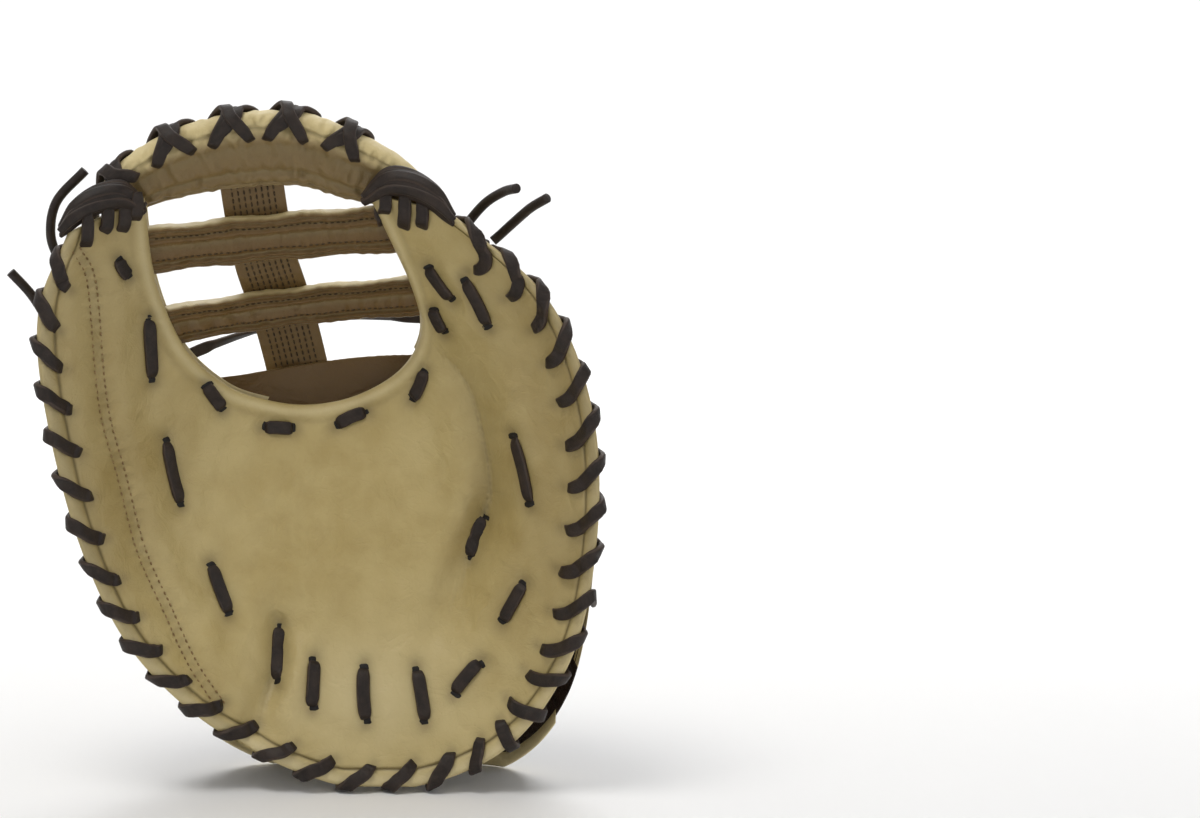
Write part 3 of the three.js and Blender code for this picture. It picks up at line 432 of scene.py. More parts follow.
@dataclass
class Sheet:
    """A closed leather body between two faces over a grid of u and v."""

    near: Face
    far: Face
    us: Array
    vs: Array

    def build(self, name: str, material: bpy.types.Material, facts: Callable[[Array, Array, Array], dict[str, Array]],
              hole: Callable[[Array], Array] | None = None) -> bpy.types.Object:
        """Build the body.

        Args:
            name: The piece's name.
            material: Its finish.
            facts: Gives the named numbers of the vertices from their u, v and own place.
            hole: Gives, for places on the near face, whether they lie in a hole right through.

        Returns:
            The object.
        """
        v = self.vs
        u = np.broadcast_to(self.us[:, None], v.shape)
        near, far = self.near(u, v), self.far(u, v)
        points = np.concatenate([near.reshape(-1, 3), far.reshape(-1, 3)])
        kept = np.ones((len(v) - 1, v.shape[1] - 1), dtype=bool)
        if hole:
            kept = ~hole((near[:-1, :-1] + near[1:, 1:] + near[:-1, 1:] + near[1:, :-1]) / 4)
        named = facts(np.tile(u.ravel(), 2), np.tile(v.ravel(), 2), points)
        obj = make_mesh(name, to_row(points), shell_faces(kept), material, named)
        tidy(obj)
        return obj


def inset_grid(width: Array, start: Sequence[float], end: Sequence[float], middle: int) -> Array:
    """Give a grid of v with columns at set distances from both edges.

    Args:
        width: The distance between the edges at each u, in millimetres.
        start: Distances from the first edge.
        end: Distances from the second edge, falling to 0.
        middle: How many columns lie between them.

    Returns:
        One row of v for each u.
    """
    first = np.array(start)[None, :] / width[:, None]
    last = 1 - np.array(end)[None, :] / width[:, None]
    share = np.linspace(0, 1, middle + 2)[1:-1]
    between = first[:, -1:] + (last[:, :1] - first[:, -1:]) * share[None, :]
    return np.concatenate([first, between, last], axis=1)


def span_grid(low: Array, high: Array, shares: Array) -> Array:
    """Give a grid of v between a low and a high v at each u."""
    return low[:, None] + (high - low)[:, None] * shares[None, :]


def share_of(v: Array, low: Array, high: Array) -> Array:
    """Give how far each v of a grid lies from the low to the high v of its row, 0 to 1."""
    return np.clip((v - low[:, None]) / np.maximum(high - low, 1e-6)[:, None], 0, 1)


def plain(count: int, wear: Array | float = 0.25) -> dict[str, Array]:
    """Give the facts of leather without hollows and holes."""
    zero = np.zeros(count)
    return {"hollow": zero, "wear": zero + wear, "hole": zero}


def tidy(obj: bpy.types.Object) -> None:
    """Merge a body's doubled points, drop its loose ones and turn it outward."""
    work = bmesh.new()
    work.from_mesh(obj.data)
    bmesh.ops.remove_doubles(work, verts=work.verts, dist=1e-6)
    loose = [v for v in work.verts if not v.link_faces]
    bmesh.ops.delete(work, geom=loose, context="VERTS")
    bmesh.ops.recalc_face_normals(work, faces=work.faces)
    if work.calc_volume(signed=True) < 0:
        bmesh.ops.reverse_faces(work, faces=work.faces)
    work.to_mesh(obj.data)
    work.free()


class Ground:
    """The finished leather, which laces and thread are laid on."""

    def __init__(self, *pieces: bpy.types.Object, side: int) -> None:
        """Take the leather pieces and the side they are laid on, -1 for the palm."""
        self.side = side
        points: list[Vector] = []
        faces: list[tuple[int, ...]] = []
        for piece in pieces:
            start = len(points)
            points += [v.co.copy() for v in piece.data.vertices]
            faces += [tuple(start + k for k in p.vertices) for p in piece.data.polygons]
        self.tree = BVHTree.FromPolygons(points, faces)

    def touch(self, x: float, z: float) -> tuple[Array, Array]:
        """Find the leather at a place seen from the front.

        Args:
            x: The place's x, in the mitt's own millimetres.
            z: The place's z.

        Returns:
            The point and the normal there, in the row frame.
        """
        start = Vector(((x + SHIFT[0]) * MM, self.side * 0.5, (z + SHIFT[2]) * MM))
        hit, normal, _, _ = self.tree.ray_cast(start, Vector((0, -self.side, 0)))
        if hit is None:
            hit, normal, _, _ = self.tree.find_nearest(Vector((start.x, 0.0, start.z)))
        if normal.y * self.side < 0:
            normal = -normal
        return np.array(hit), np.array(normal)

    def lay(self, path: Array, lift: float) -> tuple[Array, Array]:
        """Lay a path on the leather.

        Args:
            path: The path's x and z, in the mitt's own millimetres.
            lift: How far it lies off the leather, in millimetres.

        Returns:
            Its points and normals in the row frame.
        """
        touched = [self.touch(float(x), float(z)) for x, z in path]
        points = np.array([p for p, _ in touched])
        normals = np.array([n for _, n in touched])
        points[1:-1, 1] = np.median([points[:-2, 1], points[1:-1, 1], points[2:, 1]], axis=0)
        for _ in range(2):
            normals[1:-1] = (normals[:-2] + normals[1:-1] * 2 + normals[2:]) / 4
        normals = unit(normals)
        return points + normals * (lift * MM), normals


def plug(tree: bpy.types.NodeTree, slot: bpy.types.NodeSocket, value: object) -> None:
    """Link a socket or a wire to an input, or set its value."""
    if isinstance(value, Wire):
        value = value.socket
    if isinstance(value, bpy.types.NodeSocket):
        tree.links.new(value, slot)
    else:
        slot.default_value = value


class Wire:
    """A shader value that adds, scales and compares like a number."""

    def __init__(self, tree: bpy.types.NodeTree, socket: bpy.types.NodeSocket) -> None:
        """Wrap a socket of a tree."""
        self.tree = tree
        self.socket = socket

    def _math(self, kind: str, other: "Wire | float" = 0.0) -> "Wire":
        """Add a Math node of a kind."""
        node = self.tree.nodes.new("ShaderNodeMath")
        node.operation = kind
        for slot, value in zip(node.inputs, (self, other)):
            plug(self.tree, slot, value)
        return Wire(self.tree, node.outputs[0])

    def __add__(self, other: "Wire | float") -> "Wire":
        """Add."""
        return self._math("ADD", other)

    def __sub__(self, other: "Wire | float") -> "Wire":
        """Subtract."""
        return self._math("SUBTRACT", other)

    def __rsub__(self, other: float) -> "Wire":
        """Subtract this from a number."""
        return self._math("MULTIPLY", -1.0)._math("ADD", other)

    def __mul__(self, other: "Wire | float") -> "Wire":
        """Multiply."""
        return self._math("MULTIPLY", other)

    def size(self) -> "Wire":
        """Drop the sign."""
        return self._math("ABSOLUTE")

    def ramp(self, low: float, high: float) -> "Wire":
        """Ease from 0 at low to 1 at high."""
        node = self.tree.nodes.new("ShaderNodeMapRange")
        node.interpolation_type = "SMOOTHSTEP"
        for key, value in (("Value", self), ("From Min", low), ("From Max", high)):
            plug(self.tree, node.inputs[key], value)
        return Wire(self.tree, node.outputs["Result"])


Colour = tuple[float, float, float]


class Builder:
    """A node tree under construction."""

    tree: bpy.types.NodeTree

    def node(self, kind: str, wired: dict[str, object] | None = None, **settings: object) -> bpy.types.Node:
        """Add a node.

        Args:
            kind: The node's type.
            wired: Its inputs by name: sockets, wires or values.
            settings: Its own settings.

        Returns:
            The node.
        """
        made = self.tree.nodes.new(kind)
        for key, value in settings.items():
            setattr(made, key, value)
        for key, value in (wired or {}).items():
            plug(self.tree, made.inputs[key], value)
        return made


class Paint(Builder):
    """A material under construction."""

    def __init__(self, name: str) -> None:
        """Start a material with its shader and its own coordinates."""
        self.material = bpy.data.materials.new(name)
        self.material.use_nodes = True
        self.tree = self.material.node_tree
        self.shader = self.tree.nodes["Principled BSDF"]
        self.place = self.node("ShaderNodeTexCoord").outputs["Object"]

    def noise(self, scale: float, detail: float = 3.0, rough: float = 0.55, warp: float = 0.0) -> Wire:
        """Give cloudy noise, 0 to 1."""
        made = self.node("ShaderNodeTexNoise", {"Vector": self.place, "Scale": scale, "Detail": detail,
                                                "Roughness": rough, "Distortion": warp})
        return Wire(self.tree, made.outputs["Fac"])

    def cells(self, scale: float, feature: str = "F1") -> Wire:
        """Give the distance to scattered cells."""
        made = self.node("ShaderNodeTexVoronoi", {"Vector": self.place, "Scale": scale}, feature=feature)
        return Wire(self.tree, made.outputs["Distance"])

    def fact(self, name: str) -> Wire:
        """Read a named number of the mesh."""
        return Wire(self.tree, self.node("ShaderNodeAttribute", attribute_name=name).outputs["Fac"])

    def blend(self, share: Wire, low: "Colour | bpy.types.NodeSocket", high: "Colour | bpy.types.NodeSocket"
              ) -> bpy.types.NodeSocket:
        """Mix two colours."""
        made = self.node("ShaderNodeMix", {"Factor": share}, data_type="RGBA")
        for slot, value in zip(made.inputs[6:8], (low, high)):
            plug(self.tree, slot, (*value, 1.0) if isinstance(value, tuple) else value)
        return made.outputs[2]

    def bump(self, height: Wire, strength: float, depth: float, under: bpy.types.NodeSocket | None = None
             ) -> bpy.types.NodeSocket:
        """Raise the surface by a height, over what lies under it."""
        wired = {"Height": height, "Strength": strength, "Distance": depth}
        if under is not None:
            wired["Normal"] = under
        return self.node("ShaderNodeBump", wired).outputs["Normal"]

    def finish(self, colour: bpy.types.NodeSocket, rough: Wire, normal: bpy.types.NodeSocket,
               **constants: float) -> bpy.types.Material:
        """Wire the shader and give the material."""
        named = {key.replace("_", " ").title().replace("Ior", "IOR"): value for key, value in constants.items()}
        for key, value in {"Base Color": colour, "Roughness": rough, "Normal": normal, **named}.items():
            plug(self.tree, self.shader.inputs[key], value)
        return self.material


@dataclass(frozen=True)
class LeatherFinish:
    """Smooth or pebbled leather with creases, rubbed paler places and painted light, and painted shade in hollows,
    holes and over shaded sides.
    """

    name: str
    deep: Colour
    body: Colour
    worn_and_lit: Colour
    roughness: float
    pebble: float
    wrinkle: float
    coat: float
    gloss: float = 0.42

    def build(self) -> bpy.types.Material:
        """Make the material, which reads the mesh's hole, hollow, shade and wear facts: hole, hollow and shade darken
        it as painted shade, and wear makes it paler, for rubbed leather and for painted light.
        """
        paint = Paint(self.name)
        cloud = paint.noise(14, 4, 0.6)
        blotch = paint.noise(55, 5, 0.62, 0.4)
        tone = (cloud * 0.6 + blotch * 0.4).ramp(0.22, 0.72)
        colour = paint.blend(tone, self.deep, self.body)
        # Paler where the leather is rubbed, and painted light where the palm's heel middle and the brown ridge's
        # highlight are lit.
        colour = paint.blend(paint.fact("wear"), colour, self.worn_and_lit)
        pores = paint.cells(1150 - 320 * self.pebble).ramp(0.02, 0.4)
        veins = paint.noise(420, 4, 0.7, 1.2)
        colour = paint.blend((1.0 - pores) * (0.12 * self.pebble), colour, self.deep)
        # Painted shade: the shade fact turns the leather deep olive brown where the web's palm side and the palm's
        # sides lie in shade.
        shaded = tuple(c * k for c, k in zip(self.deep, (0.20, 0.115, 0.012)))
        colour = paint.blend(paint.fact("shade"), colour, shaded)
        # Painted shade: the hollow fact darkens creases, folds, seam grooves, channels and lace dents; at the seams it
        # is partly their own dark line.
        colour = paint.blend(paint.fact("hollow"), colour, tuple(c * 0.42 for c in self.deep))
        # Painted shade: the hole fact darkens the leather to near black at the lace holes, their shaded insides.
        colour = paint.blend(paint.fact("hole"), colour, (0.012, 0.008, 0.006))
        rough = (blotch * 0.22 + veins * 0.12 + self.roughness - 0.17)
        folds = paint.noise(75, 5, 0.55, 1.6)
        normal = paint.bump(folds, 0.45 * self.wrinkle, 0.0026)
        creases = paint.cells(190, "DISTANCE_TO_EDGE").ramp(0.0, 0.09)
        normal = paint.bump(creases, 0.16 * self.wrinkle, 0.0005, normal)
        normal = paint.bump(pores, min(0.42 * self.pebble, 0.9), 0.0002 + 0.00035 * self.pebble, normal)
        normal = paint.bump(veins, 0.3, 0.00016, normal)
        return paint.finish(colour, rough, normal, coat_weight=self.coat, coat_roughness=0.38,
                            specular_ior_level=self.gloss)


@dataclass(frozen=True)
class LaceFinish:
    """Oiled rawhide lace: dark, with paler cut edges and fine cracks across."""

    name: str = "rawhide"
    deep: Colour = (0.0115, 0.0070, 0.0052)
    body: Colour = (0.030, 0.0190, 0.0135)
    edge: Colour = (0.075, 0.050, 0.036)

    def build(self) -> bpy.types.Material:
        """Make the material, which reads the lace's across fact."""
        paint = Paint(self.name)
        streak = paint.noise(240, 5, 0.65, 0.8)
        cloud = paint.noise(60, 3, 0.6)
        colour = paint.blend((streak * 0.6 + cloud * 0.4).ramp(0.3, 0.7), self.deep, self.body)
        edge = paint.fact("across").size().ramp(0.72, 1.0)
        colour = paint.blend(edge * 0.55, colour, self.edge)
        crack = paint.cells(620, "DISTANCE_TO_EDGE").ramp(0.0, 0.12)
        rough = streak * 0.2 + 0.44
        normal = paint.bump(streak, 0.4, 0.0004)
        normal = paint.bump(crack, 0.25, 0.0002, normal)
        return paint.finish(colour, rough, normal, specular_ior_level=0.34)


@dataclass(frozen=True)
class ThreadFinish:
    """Waxed sewing thread with a twist."""

    name: str
    deep: Colour
    body: Colour

    def build(self) -> bpy.types.Material:
        """Make the material."""
        paint = Paint(self.name)
        fleck = paint.noise(1600, 2, 0.5)
        colour = paint.blend(fleck.ramp(0.35, 0.65), self.deep, self.body)
        normal = paint.bump(paint.noise(3500, 1, 0.5), 0.5, 0.0001)
        return paint.finish(colour, fleck * 0.2 + 0.45, normal, specular_ior_level=0.3)


class Finishes:
    """Every finish of the mitt."""

    def __init__(self) -> None:
        """Make the finishes once."""
        # The palm's tan is darker and more saturated than the pale tan of the bands and web: painted shade, as the palm
        # lies in shade.
        tan = dict(deep=(0.375, 0.278, 0.094), body=(0.505, 0.402, 0.178), worn_and_lit=(0.645, 0.550, 0.315))
        self.palm = LeatherFinish("palm_leather", **tan, roughness=0.47, pebble=0.3, wrinkle=0.85, coat=0.10).build()
        pale = dict(deep=(0.520, 0.410, 0.185), body=(0.660, 0.545, 0.280), worn_and_lit=(0.750, 0.650, 0.400))
        self.band = LeatherFinish("band_leather", **pale, roughness=0.46, pebble=0.5, wrinkle=0.6, coat=0.10).build()
        self.web = LeatherFinish("web_leather", **pale, roughness=0.48, pebble=0.6, wrinkle=1.0, coat=0.08).build()
        dark = dict(deep=(0.0095, 0.0055, 0.0042), body=(0.0220, 0.0125, 0.0090), worn_and_lit=(0.075, 0.045, 0.031))
        self.brown = LeatherFinish("brown_leather", **dark, roughness=0.42, pebble=1.6, wrinkle=1.1, coat=0.0,
                                   gloss=0.27).build()
        self.lace = LaceFinish().build()
        # Painted shadow: a near-black finish for strips laid where lace ends go into their holes.
        self.hole_shadow = LaceFinish("hole_shadow", (0.004, 0.003, 0.002), (0.008, 0.005, 0.004), (0.02, 0.013, 0.009)).build()
        self.gold = ThreadFinish("gold_thread", (0.33, 0.20, 0.07), (0.56, 0.37, 0.15)).build()
        # Painted shade: the thread on the web's palm side, made dark for the shade it lies in.
        self.shaded_web_thread = ThreadFinish("shaded_web_thread", (0.030, 0.018, 0.006), (0.075, 0.048, 0.019)).build()
        self.tan_thread = ThreadFinish("tan_thread", (0.17, 0.105, 0.045), (0.30, 0.20, 0.09)).build()


class NodeTree(Builder):
    """A Geometry Nodes tree under construction."""

    def __init__(self, name: str, sizes: dict[str, float]) -> None:
        """Start a tree with a path going in, a mesh coming out, and named sizes."""
        self.tree = bpy.data.node_groups.new(name, "GeometryNodeTree")
        face = self.tree.interface
        face.new_socket("Path", in_out="INPUT", socket_type="NodeSocketGeometry")
        face.new_socket("Mesh", in_out="OUTPUT", socket_type="NodeSocketGeometry")
        self.keys: dict[str, str] = {}
        for label, value in sizes.items():
            made = face.new_socket(label, in_out="INPUT", socket_type="NodeSocketFloat")
            made.default_value = value * MM
            self.keys[label] = made.identifier
        made = face.new_socket("Finish", in_out="INPUT", socket_type="NodeSocketMaterial")
        self.keys["Finish"] = made.identifier
        self.start = self.tree.nodes.new("NodeGroupInput")
        self.end = self.tree.nodes.new("NodeGroupOutput")

    def vector(self, name: str) -> bpy.types.NodeSocket:
        """Read a named vector of the path."""
        made = self.node("GeometryNodeInputNamedAttribute", {"Name": name}, data_type="FLOAT_VECTOR")
        return made.outputs["Attribute"]

    def turned_path(self) -> bpy.types.NodeSocket:
        """Make the path a curve whose normals are its named ups."""
        curve = self.node("GeometryNodeMeshToCurve", {"Mesh": self.start.outputs["Path"]})
        wired = {"Curve": curve.outputs[0], "Normal": self.vector("up")}
        return self.node("GeometryNodeSetCurveNormal", wired, mode="FREE").outputs[0]

    def math(self, kind: str, a: object, b: object) -> bpy.types.NodeSocket:
        """Add a Math node of a kind."""
        made = self.node("ShaderNodeMath", operation=kind)
        for slot, value in zip(made.inputs, (a, b)):
            plug(self.tree, slot, value)
        return made.outputs[0]

    def close(self, mesh: bpy.types.NodeSocket) -> None:
        """End the tree: instances become a smooth mesh in its finish."""
        real = self.node("GeometryNodeRealizeInstances", {"Geometry": mesh})
        soft = self.node("GeometryNodeSetShadeSmooth", {"Geometry": real.outputs[0]})
        wired = {"Geometry": soft.outputs[0], "Material": self.start.outputs["Finish"]}
        dressed = self.node("GeometryNodeSetMaterial", wired)
        self.tree.links.new(dressed.outputs[0], self.end.inputs["Mesh"])

    def run(self, name: str, paths: Sequence[tuple[Array, Array]], finish: bpy.types.Material,
            taper: float = 0.0, **sizes: float) -> bpy.types.Object:
        """Run the tree over paths and keep the plain mesh that it makes.

        Args:
            name: The piece's name.
            paths: Each path's points and normals, in the row frame.
            finish: The piece's material.
            taper: How much thinner each path's ends are than its middle.
            sizes: The tree's named sizes that differ from its own, in millimetres.

        Returns:
            The object.
        """
        points, edges, ups, girths = [], [], [], []
        for k, (line, normals) in enumerate(paths):
            start = len(points)
            points += line.tolist()
            ups += normals.tolist()
            ends = np.abs(np.linspace(-1, 1, len(line)))
            girths += (1 + 0.05 * math.sin(k * 2.4) - taper * smooth((ends - 0.55) / 0.45)).tolist()
            edges += [(i, i + 1) for i in range(start, start + len(line) - 1)]
        mesh = bpy.data.meshes.new(name + "_path")
        mesh.from_pydata(points, edges, [])
        for fact, kind, key, values in (("up", "FLOAT_VECTOR", "vector", ups), ("girth", "FLOAT", "value", girths)):
            layer = mesh.attributes.new(fact, kind, "POINT")
            layer.data.foreach_set(key, np.array(values, dtype=np.float32).ravel())
        source = bpy.data.objects.new(name + "_path", mesh)
        bpy.context.scene.collection.objects.link(source)
        modifier = source.modifiers.new("run", "NODES")
        modifier.node_group = self.tree
        for label, value in sizes.items():
            modifier[self.keys[label]] = value * MM
        modifier[self.keys["Finish"]] = finish
        ready = source.evaluated_get(bpy.context.evaluated_depsgraph_get())
        plain = bpy.data.meshes.new_from_object(ready)
        plain.name = name
        source.modifiers.remove(modifier)
        bpy.data.objects.remove(source)
        obj = bpy.data.objects.new(name, plain)
        bpy.context.scene.collection.objects.link(obj)
        return obj


def lace_tree() -> NodeTree:
    """Make the tree that runs a flat lace along paths."""
    made = NodeTree("flat_lace", {"Width": 5.6, "Thickness": 2.2, "Rounding": 1.0})
    size = made.start.outputs
    flat = made.node("GeometryNodeCurvePrimitiveQuadrilateral", {"Width": size["Thickness"], "Height": size["Width"]})
    wired = {"Curve": flat.outputs[0], "Radius": size["Rounding"], "Count": 3, "Limit Radius": True}
    soft = made.node("GeometryNodeFilletCurve", wired, mode="POLY")
    place = made.node("GeometryNodeInputPosition")
    apart = made.node("ShaderNodeSeparateXYZ", {"Vector": place.outputs[0]})
    across = made.math("DIVIDE", apart.outputs["Y"], made.math("MULTIPLY", size["Width"], 0.5))
    wired = {"Geometry": soft.outputs[0], "Name": "across", "Value": across}
    named = made.node("GeometryNodeStoreNamedAttribute", wired)
    girth = made.node("GeometryNodeInputNamedAttribute", {"Name": "girth"}, data_type="FLOAT")
    swept = made.node("GeometryNodeCurveToMesh", {"Curve": made.turned_path(), "Profile Curve": named.outputs[0],
                                                  "Scale": girth.outputs["Attribute"], "Fill Caps": True})
    made.close(swept.outputs[0])
    return made


def stitch_tree() -> NodeTree:
    """Make the tree that sews a row of stitches along paths."""
    made = NodeTree("stitch_row", {"Pitch": 3.0, "Length": 2.3, "Thickness": 0.75})
    size = made.start.outputs
    wired = {"Curve": made.turned_path(), "Length": size["Pitch"]}
    spread = made.node("GeometryNodeCurveToPoints", wired, mode="LENGTH")
    wired = {"Primary Axis": spread.outputs["Tangent"], "Secondary Axis": spread.outputs["Normal"]}
    turn = made.node("FunctionNodeAxesToRotation", wired, primary_axis="X", secondary_axis="Z")
    stitch = made.node("GeometryNodeMeshUVSphere", {"Segments": 8, "Rings": 5, "Radius": 0.5})
    wired = {"X": size["Length"], "Y": size["Thickness"], "Z": size["Thickness"]}
    scale = made.node("ShaderNodeCombineXYZ", wired)
    placed = made.node("GeometryNodeInstanceOnPoints", {"Points": spread.outputs["Points"], "Scale": scale.outputs[0],
                                                        "Instance": stitch.outputs[0], "Rotation": turn.outputs[0]})
    made.close(placed.outputs[0])
    return made


class Slot(Enum):
    """The record's material slots."""

    TAN = "tan_leather"
    BROWN = "brown_leather"
    LACE = "rawhide_lace"


def keep(obj: bpy.types.Object, slot: Slot, *nodes: str) -> bpy.types.Object:
    """Hand a finished piece over: it rides on the body and stands for its CAD nodes."""
    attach(obj, "root")
    if nodes:
        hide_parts(*nodes)
    LOG.info("%s: %d faces", obj.name, len(obj.data.polygons))
    return obj


@dataclass
class Assembly:
    """A part of the mitt: the finishes, and the trees that run its lace and its thread."""

    finishes: Finishes
    laces: NodeTree
    stitches: NodeTree

    def lace(self, name: str, paths: Sequence[tuple[Array, Array]], *nodes: str, taper: float = 0.0, **sizes: float
             ) -> None:
        """Run rawhide lace along paths.

        Args:
            name: The piece's name.
            paths: Each lace's points and normals, in the row frame.
            nodes: The CAD nodes that it stands for.
            taper: How much thinner its ends are than its middle.
            sizes: The tree's named sizes that differ from its own, in millimetres.
        """
        keep(self.laces.run(name, paths, self.finishes.lace, taper, **sizes), Slot.LACE, *nodes)

    def sew(self, name: str, rows: Sequence[tuple[Array, Array]], thread: bpy.types.Material, slot: Slot = Slot.TAN,
            **sizes: float) -> None:
        """Sew rows of thread.

        Args:
            name: The piece's name.
            rows: Each row's points and normals, in the row frame.
            thread: The thread's finish.
            slot: The slot of the leather that it is sewn to; not used.
            sizes: The tree's named sizes that differ from its own, in millimetres.
        """
        keep(self.stitches.run(name, rows, thread, **sizes), slot)


def near_spots(spots: Sequence[Sequence[float]], x: Array, z: Array, radius: float) -> Array:
    """Give how near places lie to any of the spots, 0 to 1."""
    near = np.zeros_like(x)
    for spot_x, spot_z in spots:
        near = np.maximum(near, peak(np.hypot(x - spot_x, z - spot_z), radius))
    return near


def holes_of(laces: dict[str, tuple], x: Array, z: Array, radius: float) -> Array:
    """Give how near places lie to the ends of short laces, 0 to 1."""
    return near_spots([spot for ends in laces.values() for spot in ends], x, z, radius)


def dents_of(laces: dict[str, tuple], x: Array, z: Array, width: float) -> Array:
    """Give how near places lie to short laces, 0 to 1."""
    return np.maximum.reduce([peak(distance_to(ends, x, z)[0], width) for ends in laces.values()])


def beside(path: Array, aside: float) -> Array:
    """Move a flat path sideways."""
    along = unit(np.gradient(path, axis=0))
    return path + aside * np.stack([along[:, 1], -along[:, 0]], axis=1)


def across_of(ends: Sequence[Sequence[float]]) -> Array:
    """Give the flat direction across a line between two places."""
    way = np.array(ends[1], dtype=float) - np.array(ends[0], dtype=float)
    return unit(np.array([way[1], -way[0]]))


def short_lace(ground: Ground, ends: Sequence[Sequence[float]], lift: float, dip: float = 3.4
               ) -> tuple[Array, Array]:
    """Run a short lace over the leather, its ends dipping into their holes.

    Args:
        ground: The leather.
        ends: The x and z of the two holes.
        lift: How far its middle line lies off the leather.
        dip: How far its ends go in.

    Returns:
        Its points and normals.
    """
    t = np.linspace(-1, 1, 25)
    bow = 1.1 * math.sin(ends[0][0] * 1.7 + ends[0][1]) * (1 - t ** 2)
    line = np.linspace(ends[0], ends[1], len(t)) + bow[:, None] * across_of(ends)
    points, normals = ground.lay(line, 0.0)
    height = lift * (1 - np.abs(t) ** 6) - dip * np.maximum(np.abs(t) - 0.72, 0) ** 1.6 / 0.28 ** 1.6
    return points + normals * (height * MM)[:, None], normals


def hole_shadows_of(ground: Ground, ends: Sequence[Sequence[float]]) -> list[tuple[Array, Array]]:
    """Give the painted shadows in the holes that a short lace's two ends go into: dark strips laid on the leather.

    Args:
        ground: The leather.
        ends: The x and z of the two holes.

    Returns:
        Each shadow's points and normals.
    """
    a, b = np.array(ends[0], dtype=float), np.array(ends[1], dtype=float)
    way = unit(b - a)
    spots = ((a, -way), (b, way))
    return [ground.lay(spot + np.linspace(-2.8, 0.3, 9)[:, None] * out, 0.02) for spot, out in spots]


def laid_leather(name: str, ground: Ground, places: Array, shape: tuple[int, int], top: Array, wear: Array,
                 material: bpy.types.Material) -> bpy.types.Object:
    """Make a flat piece of leather that lies on other leather.

    Args:
        name: The piece's name.
        ground: The leather under it.
        places: The x and z of its grid.
        shape: The grid's rows and columns.
        top: How thick it is at each place, in millimetres.
        wear: How pale its top is at each place.
        material: Its finish.

    Returns:
        The object.
    """
    points, normals = ground.lay(places, 0.0)
    faces = shell_faces(np.ones((shape[0] - 1, shape[1] - 1), dtype=bool))
    both = np.concatenate([points + normals * 0.05 * MM, points + normals * (top * MM)[:, None]])
    facts = plain(2 * len(top), wear=np.concatenate([np.zeros(len(top)), wear]))
    body = make_mesh(name, both, faces, material, facts)
    tidy(body)
    return body


def rounded(outline: Sequence[Sequence[float]]) -> list[tuple[float, float]]:
    """Round the corners of a closed outline."""
    ring = np.array(outline, dtype=float)
    for _ in range(3):
        after = np.roll(ring, -1, axis=0)
        ring = np.stack([ring * 0.8 + after * 0.2, ring * 0.2 + after * 0.8], axis=1).reshape(-1, 2)
    return [(float(x), float(z)) for x, z in ring]


def relaxed(values: Array, rounds: int) -> Array:
    """Smooth a row of values, its ends held."""
    made = values.copy()
    for _ in range(rounds):
        made[1:-1] = (made[:-2] + 2 * made[1:-1] + made[2:]) / 4
    return made


def tube_of(name: str, rings: Array, material: bpy.types.Material, closed: bool = False, row: bool = False,
            facts: dict[str, Array] | None = None) -> bpy.types.Object:
    """Make a closed body through rings of points.

    Args:
        name: The piece's name.
        rings: One ring of points for each station.
        material: Its finish.
        closed: Whether the last ring joins the first.
        row: Whether the points already are in the row frame.
        facts: Named numbers for each vertex.

    Returns:
        The object.
    """
    count, sides = rings.shape[:2]
    faces = []
    for i in range(count if closed else count - 1):
        j = (i + 1) % count
        for k in range(sides):
            m = (k + 1) % sides
            faces.append([i * sides + k, i * sides + m, j * sides + m, j * sides + k])
    if not closed:
        faces.append(list(range(sides)))
        faces.append([(count - 1) * sides + k for k in range(sides)])
    points = rings.reshape(-1, 3)
    obj = make_mesh(name, points if row else to_row(points), faces, material, facts or plain(len(points)))
    tidy(obj)
    return obj


